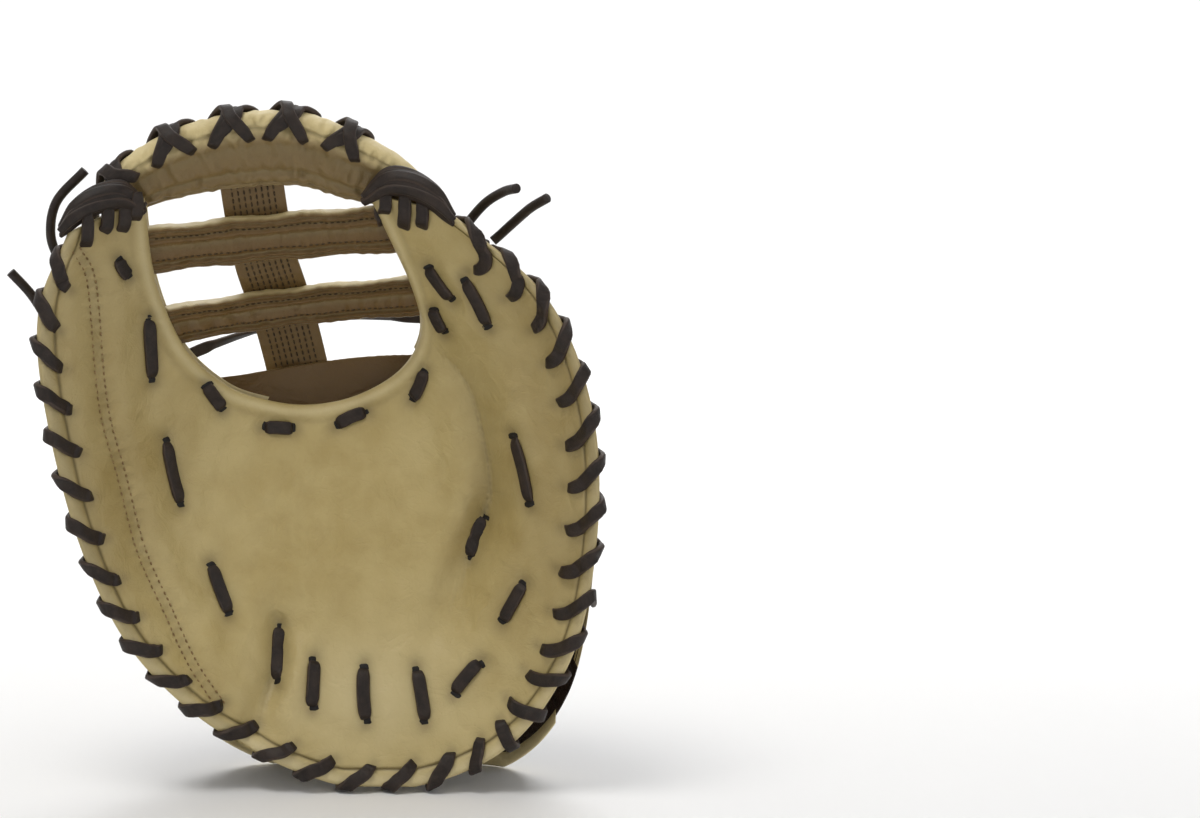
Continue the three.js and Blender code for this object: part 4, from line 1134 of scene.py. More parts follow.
@dataclass
class Palm(Assembly):
    """The padded palm, its seams and its short laces."""

    round_steps: int = 440
    across_steps: int = 58
    edge_radius: float = 3.2
    lip_radius: float = 2.4
    inner_radius: float = 1.6
    inner_lip_radius: float = 2.2
    seam_in: float = 8.0
    lace_lift: float = 0.9

    def relief(self, x: Array, z: Array) -> Array:
        """Give how far the palm swells towards the catcher, in millimetres."""
        seam, _ = distance_to(THUMB_SEAM, x, z)
        left, fall = distance_to(LEFT_CREASE, x, z)
        right, along = distance_to(RIGHT_CREASE, x, z)
        ridge, _ = distance_to(FINGER_RIDGE, x, z)
        swell = profile(seam, (2.4, 10, 6), (-1.6, 0, 3.4), (0.9, 0, 1.2)) + profile(ridge, (2.6, 0, 9))
        held = np.sin(np.pi * np.clip(fall, 0.05, 0.95)) ** 0.7
        swell += held * profile(left, (-3.6, 0, 4.2), (1.6, 10, 5))
        fold = np.sin(np.pi * np.clip(along, 0.02, 0.98))
        swell += fold * profile(right, (-3.6, 0, 6), (-1.6, 0, 2))
        swell += np.sin(np.pi * along) * profile(right, (2.4, 13, 7))
        swell += 3.0 * peak(x - 20, 34) * peak(z - 42, 20)
        swell += ripples(x, z, (0.6, 0.11, 0, 1.3, 0.03, 0.083), (0.35, 0.31, 0.12, 0, -0.1, 0.27))
        swell += peak(z - 70, 26) * ripples(x, z, (0.5, 0.26, 0, 0.8, 0, 0.09))
        return swell - 1.3 * dents_of(PALM_LACES, x, z, 4.5)

    def faces(self) -> tuple[Face, Face]:
        """Give the palm's dressed front and inner faces."""
        def front(u: Array, v: Array) -> Array:
            """Give the catching face with its relief and rounded edges."""
            p = FORM.front(u, v)
            far = FORM.width(u)
            rim, lip = v * far, (1 - v) * far
            fade = smooth(rim / 14) * smooth(lip / 10)
            p[..., 1] -= fade * self.relief(p[..., 0], p[..., 2])
            p[..., 1] -= 0.7 * np.cos(2 * np.pi * (FORM.phase(u) - 0.5)) * peak(rim - 5, 4)
            p[..., 1] += fillet(rim, self.edge_radius) + fillet(lip, self.lip_radius)
            p[..., 1] += profile(rim, (1.0, self.seam_in, 0.8)) + profile(lip, (-0.9, 4.0, 2.6), (0.25, 8.2, 1.6))
            return p

        def behind(u: Array, v: Array) -> Array:
            """Give the inner face with its rounded edges."""
            p = FORM.behind(u, v)
            far = FORM.width(u)
            p[..., 1] -= fillet(v * far, self.inner_radius) + fillet((1 - v) * far, self.inner_lip_radius)
            return p

        return front, behind

    def facts(self, u: Array, v: Array, p: Array) -> dict[str, Array]:
        """Give the palm's paler rim and lip, its paler heel middle, which is painted light, and its painted shade in
        hollows, holes and at the sides.
        """
        far = FORM.width(u)
        x, z = p[:, 0], p[:, 2]
        rim, lip = v * far, (1 - v) * far
        seam, _ = distance_to(THUMB_SEAM, x, z)
        left, fall = distance_to(LEFT_CREASE, x, z)
        right, along = distance_to(RIGHT_CREASE, x, z)
        fall, along = np.sin(np.pi * fall), np.sin(np.pi * along)
        # Painted shade in the rim's seam groove, the creases, the broad right valley, the thumb seam, the lip's groove
        # and the lace dents.
        hollow = np.maximum.reduce([
            profile(rim, (0.95, self.seam_in, 0.6)), profile(left, (0.62, 0, 2.2)) * fall,
            profile(right, (0.55, 0, 2)) * along, profile(right, (0.22, 0, 9)) * along, profile(seam, (0.3, 0, 3)),
            profile(lip, (0.2, 8, 1.6)), 0.35 * dents_of(PALM_LACES, x, z, 5.0),
        ])
        # Paler along the rim and the lip; the paler patch at the heel's middle is painted light.
        wear = profile(rim, (0.6, 3, 3)) + profile(lip, (0.5, 3, 2)) + 0.5 * peak(x - 20, 44) * peak(z - 45, 25)
        # The holes' dark insides are painted shade.
        hole = np.maximum(holes_of(PALM_LACES, x, z, 2.6), near_spots(FORM.edge_holes(), x, z, 2.8))
        # Painted shade: darker towards both sides and higher up the palm.
        side = 0.24 * smooth((np.abs(x - 5) - 40) / 70) * smooth((z - 50) / 80)
        return {"hollow": hollow, "wear": np.clip(wear, 0, 1), "hole": 0.28 * hole, "shade": side}

    def build(self) -> bpy.types.Object:
        """Build the palm with its lace and thread, and give its leather."""
        front, behind = self.faces()
        us = np.linspace(0, LAST, self.round_steps)
        rim = (0, 0.3, 0.8, 1.5, 2.3, 3.2, 4.4, 5.6, 6.6, 7.2, 7.6, 8, 8.4, 8.8, 9.4, 10.4, 11.5, 12.6, 14)
        lip = (9.5, 8.2, 7.4, 6.6, 5.6, 4.4, 3.2, 2.2, 1.4, 0.7, 0.3, 0)
        vs = inset_grid(FORM.width(us), rim, lip, self.across_steps)
        body = Sheet(front, behind, us, vs).build("palm", self.finishes.palm, self.facts)
        keep(body, Slot.TAN, "palm_pad")
        ground = Ground(body, side=-1)
        self.add_laces(ground)
        self.add_stitches(ground)
        return body

    def add_laces(self, ground: Ground) -> None:
        """Run the short laces from hole to hole."""
        # Painted shadows in the holes under the lace ends.
        hole_shadows = [hole_shadow for ends in PALM_LACES.values() for hole_shadow in hole_shadows_of(ground, ends)]
        keep(self.laces.run("palm_hole_shadows", hole_shadows, self.finishes.hole_shadow, taper=0.55, Width=6.4, Thickness=0.3), Slot.LACE)
        for name, ends in PALM_LACES.items():
            path = short_lace(ground, ends, self.lace_lift)
            self.lace(name + "_run", [path], name, taper=0.34, Width=6.2, Thickness=2.5)

    def add_stitches(self, ground: Ground) -> None:
        """Sew the thumb's double seam."""
        rows = []
        for aside in (-1.9, 1.9):
            rows.append(ground.lay(beside(curve_through(THUMB_SEAM, 90), aside), 0.12))
        self.sew("palm_stitching", rows, self.finishes.tan_thread, Pitch=3.0, Length=1.9, Thickness=0.95)


@dataclass
class EdgeLace(Assembly):
    """The rawhide that sews palm to back round the rim."""

    lift: float = 1.3
    rim_lift: float = 0.35
    shoulder: float = 0.2
    dip: float = -2.6
    wander: float = 0.8
    bow: float = 0.12
    roll: float = 0.3
    back_leg: float = 8.0
    open_from: float = 6.0
    open_leather: float = 4.0
    floor: float = 2.3
    rim_pulls: tuple = ((7, 0.35), (8, 0.8), (9, 0.8), (10, 0.35))

    def stitch(self, u: float, front: Face) -> tuple[Array, Array]:
        """Give one stitch from its hole in the palm, over the rim, to the back.

        Args:
            u: Its section.
            front: The palm's dressed face.

        Returns:
            Its points and normals.
        """
        s = FORM.section(np.array([u - 0.1, u, u + 0.1]))
        hole_u, hole_v = FORM.hole(u)
        lean = hole_u - u
        far = float(FORM.width(np.array([u]))[0])
        outward = unit(np.array([s["rim_z"][2] - s["rim_z"][0], 0, s["rim_x"][0] - s["rim_x"][2]]))

        def back(a: Array, b: Array) -> Array:
            """Give the face that the stitch's end lies on."""
            if s["open"][1] <= self.open_from:
                return FORM.outer(a, b)
            p = FORM.behind(a, b)
            p[..., 1] += self.open_leather
            return p

        sway = self.wander * math.sin(u * 37.0) / far
        bows = [math.sin(math.pi * share) * self.bow * lean for share in np.linspace(1, 0, 9)]
        spots = [(front, -1, u + lean * share + bow, (hole_v + sway) * share)
                 for share, bow in zip(np.linspace(1, 0, 9), bows)]
        spots += [(back, 1, u, self.back_leg / far * share) for share in np.linspace(0, 1, 7)]
        places = [(face, side, np.array([a]), np.array([b])) for face, side, a, b in spots]
        points = np.array([face(a, b)[0] for face, _, a, b in places])
        normals = np.array([self.normal(face, a, b, side) for face, side, a, b in places])
        for k, pull in self.rim_pulls:
            normals[k] = normals[k] * (1 - pull) + outward * pull
        normals = unit(normals)
        lift = np.full(len(points), self.lift)
        lift[[0, -1]] = self.dip
        lift[[1, -2]] = self.shoulder
        lift[7:11] += self.rim_lift
        points = points + normals * lift[:, None]
        roll = self.roll * np.sin(np.linspace(0, np.pi, len(points)) * 2 + u * 11)
        normals = normals + np.cross(unit(np.gradient(points, axis=0)), normals) * roll[:, None]
        points[:, 2] = np.maximum(points[:, 2], self.floor)
        table = np.concatenate([points, normals], axis=1)
        fine = catmull(table, np.linspace(0, len(table) - 1, 34))
        return to_row(fine[:, :3]), unit(fine[:, 3:])

    @staticmethod
    def normal(face: Face, u: Array, v: Array, side: int) -> Array:
        """Give a face's outward normal."""
        v = np.maximum(v, 0.03)
        along = face(u + 0.05, v)[0] - face(u - 0.05, v)[0]
        inward = face(u, v + 0.02)[0] - face(u, v - 0.02)[0]
        made = unit(np.cross(along, inward))
        return made * np.sign(made[1]) * side

    def build(self, front: Face) -> None:
        """Build the three runs of edge lace."""
        runs = {"edge_lace_thumb": (0, 4.2), "edge_lace_heel": (4.2, 7.9), "edge_lace_finger": (7.9, LAST)}
        places = FORM.stitch_places()
        for name, (low, high) in runs.items():
            mine = [self.stitch(u, front) for u in places if low < u <= high]
            self.lace(name + "_run", mine, name, taper=0.3, Width=6.3, Thickness=2.6)


@dataclass
class BackHand(Assembly):
    """The back: tan bands, brown leather over the hand, hood, strap and binding."""

    band_radius: float = 2.2
    heel_trim: float = 0.08
    over_band: float = 0.15
    brown_rise: float = 0.25
    brown_edge: float = 1.5
    hole_centre: tuple[float, float] = (42.0, 96.0)
    hole_long: float = 29.0
    hole_wide: float = 12.0
    hole_turn: float = 0.5
    ring_out: float = 4.6
    ring_rise: float = 1.5
    ring_roll: tuple[float, float] = (3.9, 2.0)
    ring_lace: tuple[float, float] = (4.7, 2.9)
    ring_turns: int = 26
    strap_end: float = 15.0
    strap_sag: float = 1.6
    strap_thick: float = 2.3
    binding: tuple[float, float] = (3.4, 3.9)
    strap: tuple[float, float, float, float] = (-14.0, 92.0, 11.0, 42.0)
    pieces: list[bpy.types.Object] = field(default_factory=list)

    def hole_at(self, angle: Array, out: Array | float) -> Array:
        """Give x and z on the finger hole's oval, grown by out."""
        p = (self.hole_long + out) * np.cos(angle)
        q = (self.hole_wide + out) * np.sin(angle)
        s, c = math.sin(self.hole_turn), math.cos(self.hole_turn)
        return np.stack([self.hole_centre[0] + p * s + q * c, self.hole_centre[1] + p * c - q * s], axis=-1)

    def in_hole(self, p: Array) -> Array:
        """Tell which places lie in the finger hole."""
        s, c = math.sin(self.hole_turn), math.cos(self.hole_turn)
        dx, dz = p[..., 0] - self.hole_centre[0], p[..., 2] - self.hole_centre[1]
        along, aside = dx * s + dz * c, dx * c - dz * s
        return (along / (self.hole_long + 2)) ** 2 + (aside / (self.hole_wide + 2)) ** 2 < 1

    @staticmethod
    def lifted(face: Face, up: float, puff: float = 0.0, low: Array | None = None, high: Array | None = None) -> Face:
        """Raise a face, and swell it between its edges.

        Args:
            face: The face.
            up: How far it is raised.
            puff: How far its middle swells more.
            low: The lowest v at each u of the grid.
            high: The highest v at each u of the grid.

        Returns:
            The raised face.
        """
        def made(u: Array, v: Array) -> Array:
            """Give the raised face."""
            p = face(u, v)
            p[..., 1] += up
            if puff and low is not None:
                t = share_of(v, low, high)
                side = np.clip(np.minimum(u - u.min(), u.max() - u) / 0.8, 0, 1)
                p[..., 1] += puff * np.minimum(1, 6 * t * (1 - t)) ** 0.6 * side ** 0.5
            return p
        return made

    def plain_facts(self, laces: dict[str, tuple]) -> Callable[[Array, Array, Array], dict[str, Array]]:
        """Give the facts of back leather that short laces pierce."""
        def facts(u: Array, v: Array, p: Array) -> dict[str, Array]:
            """Give paler edges and the lace holes' painted dark."""
            x, z = p[:, 0], p[:, 2]
            wear = 0.5 * peak(v, 0.03) + 0.35 * peak(1 - v, 0.05)
            # The holes' dark insides are painted shade.
            hole = 0.3 * holes_of(laces, x, z, 2.4) if laces else np.zeros_like(x)
            return {"hollow": np.zeros_like(x), "wear": np.clip(wear, 0, 1), "hole": hole}
        return facts

    def band(self, name: str, node: str, start: float, end: float) -> None:
        """Build one tan band of the back."""
        us = np.linspace(start, end, 170)
        edge = (0, 0.4, 1, 1.8, 3, 5, 8)
        vs = inset_grid(FORM.width(us, back=True), edge, edge[::-1], 34)

        def outer(u: Array, v: Array) -> Array:
            """Give the band's outer face with its rounded edges."""
            p = FORM.outer(u, v)
            far = FORM.width(u, back=True)
            p[..., 1] -= fillet(v * far, self.band_radius) + fillet((1 - v) * far, self.band_radius)
            p[..., 1] += 0.4 * np.sin(u * 9 + v * 4) * np.sin(v * 11) * smooth(v * 6) * smooth((1 - v) * 6)
            return p

        body = Sheet(FORM.inner, outer, us, vs).build(name, self.finishes.band, self.plain_facts(BACK_LACES))
        self.pieces.append(keep(body, Slot.TAN, node))

    def spans(self, outline: Sequence[Sequence[float]], us: Array, top: float) -> tuple[Array, Array, Array]:
        """Give the part of each section that lies inside an outline."""
        found = [(u, FORM.outline_span(outline, float(u), top)) for u in us]
        kept = [(u, *span) for u, span in found if span is not None and span[1] - span[0] > 0.004]
        table = np.array(kept)
        return table[:, 0], table[:, 1], table[:, 2]

    def brown(self) -> None:
        """Build the brown leather, with the finger hole cut through."""
        us, low, high = self.spans(rounded(BROWN_OUTLINE), np.linspace(0.6, 11.7, 420), 1.0)
        low, high = relaxed(low, 3), relaxed(high, 3)
        high = high - self.heel_trim * smooth((us - 3.2) / 0.6) * smooth((8.8 - us) / 0.6)

        def near(u: Array, v: Array) -> Array:
            """Give the inner face, which lies over the bands beside the heel."""
            full = smooth((u - 3.3) / 0.6) * smooth((8.9 - u) / 0.6)
            inner, outer = FORM.inner(u, v), FORM.outer(u, v)
            outer[..., 1] += self.over_band
            return outer * (1 - full[..., None]) + inner * full[..., None]

        def far(u: Array, v: Array) -> Array:
            """Give the outer face with its ridge, seams and creases."""
            p = FORM.outer(u, v)
            t = share_of(v, low, high)
            edge = np.minimum(1, np.sqrt(np.maximum(1 - (1 - np.minimum(t, 1 - t) * 22).clip(0, 1) ** 2, 0)))
            p[..., 1] += self.brown_rise + self.brown_edge * edge
            x, z = p[..., 0], p[..., 2]
            ridge, _ = distance_to(FINGER_STALL_RIDGE, x, z)
            fold, _ = distance_to(STALL_SEAM, x, z)
            slot, _ = distance_to(SLOT, x, z)
            p[..., 1] += profile(ridge, (3.6, 0, 6.5)) + profile(fold, (-1.8, 0, 1.5), (1.2, 6, 4))
            p[..., 1] += 0.9 * np.exp(-((slot - 1.5) / 3.5) ** 4)
            waves = ripples(x, z, (0.45, 0.2, 0.07, 0, 0, 0.17), (0.3, 0.5, -0.23, 0, 0.1, 0.41))
            p[..., 1] += waves * smooth((z - 8) / 14)
            return p

        def facts(u: Array, v: Array, p: Array) -> dict[str, Array]:
            """Give the paler ridge, partly rubbed and partly a painted highlight, and the painted shade in the seam's
            groove.
            """
            x, z = p[:, 0], p[:, 2]
            ridge, _ = distance_to(FINGER_STALL_RIDGE, x, z)
            fold, _ = distance_to(STALL_SEAM, x, z)
            # The paler ridge is partly rubbed leather and partly a painted highlight.
            wear = 0.75 * peak(ridge, 4) + 0.12 * (np.sin(x * 0.09) * np.sin(z * 0.07) + 1)
            # Painted shade in the seam's groove.
            return {"hollow": 0.8 * peak(fold, 1.2), "wear": np.clip(wear, 0, 1), "hole": np.zeros_like(x)}

        shares = np.concatenate([[0, 0.008, 0.02, 0.035], np.linspace(0.05, 0.95, 90), [0.965, 0.98, 0.992, 1]])
        sheet = Sheet(near, far, us, span_grid(low, high, shares))
        body = sheet.build("back_brown", self.finishes.brown, facts, self.in_hole)
        self.pieces.append(keep(body, Slot.BROWN, "back_hand_shell", "back_finger_stall"))

    def hood(self) -> None:
        """Build the padded hood at the web's base."""
        us, low, high = self.spans(rounded(HOOD_OUTLINE), np.linspace(0.8, 11, 420), 1.35)
        low, high = relaxed(low, 5), relaxed(high, 5)
        vs = span_grid(low, high, np.linspace(0, 1, 70))
        near = self.lifted(FORM.outer, 0.5)
        far = self.lifted(FORM.outer, 2.3, 1.9, low, high)

        def padded(u: Array, v: Array) -> Array:
            """Give the outer face with its fold and creases."""
            p = far(u, v)
            x, z = p[..., 0], p[..., 2]
            fold, _ = distance_to(HOOD_FOLD, x, z)
            p[..., 1] += profile(fold, (1.9, 11, 7)) * (z > 168 + 0.1 * (x - 20)) + profile(fold, (-1.1, 0, 2.6))
            p[..., 1] += ripples(x, z, (0.5, 0.33, 0.21, 0, 0.11, -0.29)) - 0.9 * dents_of(HOOD_LACES, x, z, 5)
            return p

        def facts(u: Array, v: Array, p: Array) -> dict[str, Array]:
            """Give the painted shade in the fold, the holes' painted dark and the painted shade over the inner side."""
            x, z = p[:, 0], p[:, 2]
            fold, _ = distance_to(HOOD_FOLD, x, z)
            # Painted shade over the side towards the palm.
            shade = np.where(np.arange(len(x)) < len(x) // 2, 0.95, 0.0)
            return {"hollow": 0.3 * peak(fold, 1.6), "wear": 0.2 + 0 * x, "shade": shade,
                    "hole": 0.3 * holes_of(HOOD_LACES, x, z, 2.4)}

        body = Sheet(near, padded, us, vs).build("hood", self.finishes.web, facts)
        keep(body, Slot.TAN, "web_hood")
        self.pieces.append(body)

    def heel_binding(self) -> None:
        """Build the lining's edge behind the heel."""
        us = np.linspace(4.1, 7.9, 90)
        vs = span_grid(0 * us, 0 * us + 0.12, np.linspace(0, 1, 10))
        near = self.lifted(FORM.behind, 1.6)
        far = self.lifted(FORM.behind, 4.0)
        body = Sheet(near, far, us, vs).build("heel_lining", self.finishes.band, self.plain_facts({}))
        keep(body, Slot.TAN, "heel_binding")

    def wrist_edge(self) -> None:
        """Build the rolled tan binding along the back's lower edge."""
        us = np.linspace(4.7, 7.75, 120)
        s = FORM.section(us)
        centre_v = 0.2 / (s["mouth_z"] - s["back_z"])
        middle = (FORM.inner(us, centre_v) + FORM.outer(us, centre_v)) / 2
        thick, tall = self.binding
        rings = []
        for angle in np.linspace(0, 2 * np.pi, 15)[:-1]:
            ring = middle.copy()
            ring[:, 1] += thick * np.sign(np.cos(angle)) * abs(math.cos(angle)) ** 0.8
            ring[:, 2] += tall * np.sign(np.sin(angle)) * abs(math.sin(angle)) ** 0.8
            ring[:, 2] = np.maximum(ring[:, 2], 0.0)
            rings.append(ring)
        body = tube_of("wrist_edge", np.stack(rings, axis=1), self.finishes.band)
        keep(body, Slot.TAN, "wrist_binding")
        self.pieces.append(body)

    def wrist_strap(self, ground: Ground) -> Ground:
        """Build the strap over the wrist on the finished back.

        Args:
            ground: The back's leather.

        Returns:
            The strap's own leather.
        """
        left, right, low, high = self.strap
        rows, cols = 110, 34
        r, t = np.tile(np.linspace(-1, 1, cols), rows), np.repeat(np.linspace(0, 1, rows), cols)
        x = left + (right - left) * t
        past = np.maximum((x - (right - self.strap_end)) / self.strap_end, 0)
        tall = np.sqrt(np.maximum(1 - past ** 2.2, 0)) * (high - low) / 2
        places = np.stack([x, (low + high) / 2 - self.strap_sag * np.sin(np.pi * t) + r * tall], axis=1)
        edge = np.minimum(1 - np.abs(r), np.minimum(t, 1 - t) * 3.2)
        top = self.strap_thick * np.sqrt(np.clip(1 - (1 - np.clip(edge * 9, 0, 1)) ** 2, 0.04, 1))
        top += 0.35 * np.sin(t * 19) * (1 - r ** 2)
        wear = 0.5 * peak(edge, 0.07)
        body = laid_leather("wrist_strap_leather", ground, places, (rows, cols), top, wear, self.finishes.brown)
        keep(body, Slot.BROWN, "wrist_strap")
        return Ground(body, side=1)

    def round_ring(self, outside: Array, normals: Array, angle: float, size: tuple[float, float]) -> Array:
        """Give the way from the ring's middle line to an oval round it.

        Args:
            outside: The directions away from the hole.
            normals: The directions away from the hand.
            angle: The angle round the oval.
            size: Half its width and half its height, in millimetres.

        Returns:
            The way at each place, in the row frame.
        """
        wide, tall = size
        return (outside * (wide * math.cos(angle) * MM)
                + normals * ((self.ring_rise + tall * math.sin(angle)) * MM))

    def finger_ring(self, ground: Ground) -> None:
        """Build the finger hole's rolled edge and the lace wound round it."""
        angles = np.linspace(0, 2 * np.pi, 97)[:-1]
        spots, normals = [], []
        for angle in angles:
            x, z = self.hole_at(np.array(angle), self.ring_out)
            (spot, near), (_, far) = (ground.touch(*self.hole_at(np.array(angle), out)) for out in (9.0, 12.0))
            spots.append(np.array([(x + SHIFT[0]) * MM, spot[1], z * MM]))
            normals.append(unit(near + far))
        spots, normals = np.array(spots), np.array(normals)
        for _ in range(6):
            spots[:, 1] = (np.roll(spots[:, 1], 1) + spots[:, 1] * 2 + np.roll(spots[:, 1], -1)) / 4
            normals = unit(np.roll(normals, 1, axis=0) + normals * 2 + np.roll(normals, -1, axis=0))
        along = unit(np.roll(spots, -1, axis=0) - np.roll(spots, 1, axis=0))
        outside = np.cross(along, normals)
        sections = np.linspace(0, 2 * np.pi, 17)[:-1]
        rings = [spots + self.round_ring(outside, normals, a, self.ring_roll) for a in sections]
        core = tube_of("finger_hole_roll", np.stack(rings, axis=1), self.finishes.brown, closed=True, row=True)
        keep(core, Slot.LACE, "finger_hole_ring")
        wraps = []
        for k in range(self.ring_turns):
            path, ups = [], []
            for share in np.linspace(-0.08, 1.02, 20):
                angle = 2 * math.pi * share
                place = (k + 0.75 * share) / self.ring_turns * len(spots)
                i = int(place) % len(spots)
                spot = spots[i] * (1 - place % 1) + spots[(i + 1) % len(spots)] * (place % 1)
                path.append(spot + self.round_ring(outside[i], normals[i], angle, self.ring_lace))
                ups.append(unit(outside[i] * math.cos(angle) + normals[i] * math.sin(angle)))
            wraps.append((np.array(path), np.array(ups)))
        self.lace("finger_hole_lacing", wraps, Width=5.6, Thickness=1.5)

    def build(self) -> Ground:
        """Build the back, and give the leather that laces lie on."""
        self.band("thumb_band", "back_thumb_band", 0, 4.1)
        self.band("finger_band", "back_finger_band", 8.2, LAST)
        self.brown()
        self.hood()
        self.heel_binding()
        self.wrist_edge()
        ground = Ground(*self.pieces, side=1)
        strap = self.wrist_strap(ground)
        self.finger_ring(ground)
        self.add_laces(ground)
        self.add_stitches(ground, strap)
        return ground

    def add_laces(self, ground: Ground) -> None:
        """Run the short laces on the back and the hood."""
        for name, ends in {**BACK_LACES, **HOOD_LACES}.items():
            path = short_lace(ground, ends, 1.0)
            self.lace(name + "_run", [path], name, taper=0.3)

    def add_stitches(self, ground: Ground, strap: Ground) -> None:
        """Sew the rows on the brown leather, the hood and the strap."""
        rows = []
        for path, gaps in SEWN_ROWS.values():
            line = curve_through(path, 20 * len(path))
            rows += [ground.lay(beside(line, gap), 0.15) for gap in gaps]
        self.sew("back_stitching", rows, self.finishes.gold, Slot.BROWN)
        left, right, low, high = self.strap
        mid, half = (low + high) / 2, (high - low) / 2 - 2.6
        stop = left + 7
        border = [(stop, mid - half), (stop, mid + half)]
        turned = [(right - 16 + 12.6 * math.sin(a), mid + half * math.cos(a)) for a in np.linspace(0, math.pi, 15)]
        loop = [(stop, mid + half), (stop + 25, mid + half - 1.2), (stop + 45, mid + half - 1.0), *turned,
                (stop + 45, mid - half - 1.0), (stop + 25, mid - half - 1.2), (stop, mid - half)]
        sewn = [strap.lay(curve_through(loop, 160), 0.15), strap.lay(np.linspace(*border, 30), 0.15)]
        self.sew("strap_stitching", sewn, self.finishes.gold, Slot.BROWN, Pitch=2.6, Length=2.0)


def across_leaning(ways: Array, lean: float) -> tuple[Array, Array]:
    """Give the directions of height and thickness along a bar that leans forward."""
    along, up = unit(ways), unit(np.array([0, -lean, 1.0]))
    high = unit(up - along * (along @ up)[:, None])
    return high, np.cross(along, high)


def boxed(angles: Array) -> tuple[Array, Array]:
    """Give the height and thickness of a rounded box's outline at angles round it."""
    c, s = np.cos(angles), np.sin(angles)
    return np.sign(c) * np.abs(c) ** 0.6, np.sign(s) * np.abs(s) ** 0.75


def turned_by(angles: Array, at: float) -> Array:
    """Give how far angles lie from one of them, the short way round."""
    return np.angle(np.exp(1j * (angles - at)))


def crumple(rings: Array, depth: float, seed: float) -> Array:
    """Give soft creases across a padded bar.

    Args:
        rings: The bar's rings.
        depth: The creases' depth, in millimetres.
        seed: Shifts their pattern.

    Returns:
        How far each point moves.
    """
    x, y, z = rings[..., 0], rings[..., 1], rings[..., 2]
    fold = np.sin(x * 0.55 + z * 0.3 + seed) * np.sin(x * 0.21 - y * 0.4 + seed * 2) ** 3
    fold += 0.5 * np.sin(x * 1.1 - z * 0.5 + seed * 3) * np.sin(x * 0.13 + z * 0.2) ** 2
    return fold[..., None] * depth * np.array([0, 1.0, 0.3])


def nearest_behind(x: float, z: float) -> float:
    """Give the depth of the palm's inner face at a place seen from the front."""
    u, v = np.meshgrid(np.linspace(0, LAST, 481), np.linspace(0, 1.2, 61), indexing="ij")
    p = FORM.behind(u, v)
    gap = np.hypot(p[..., 0] - x, p[..., 2] - z)
    return float(p[..., 1].ravel()[gap.argmin()])


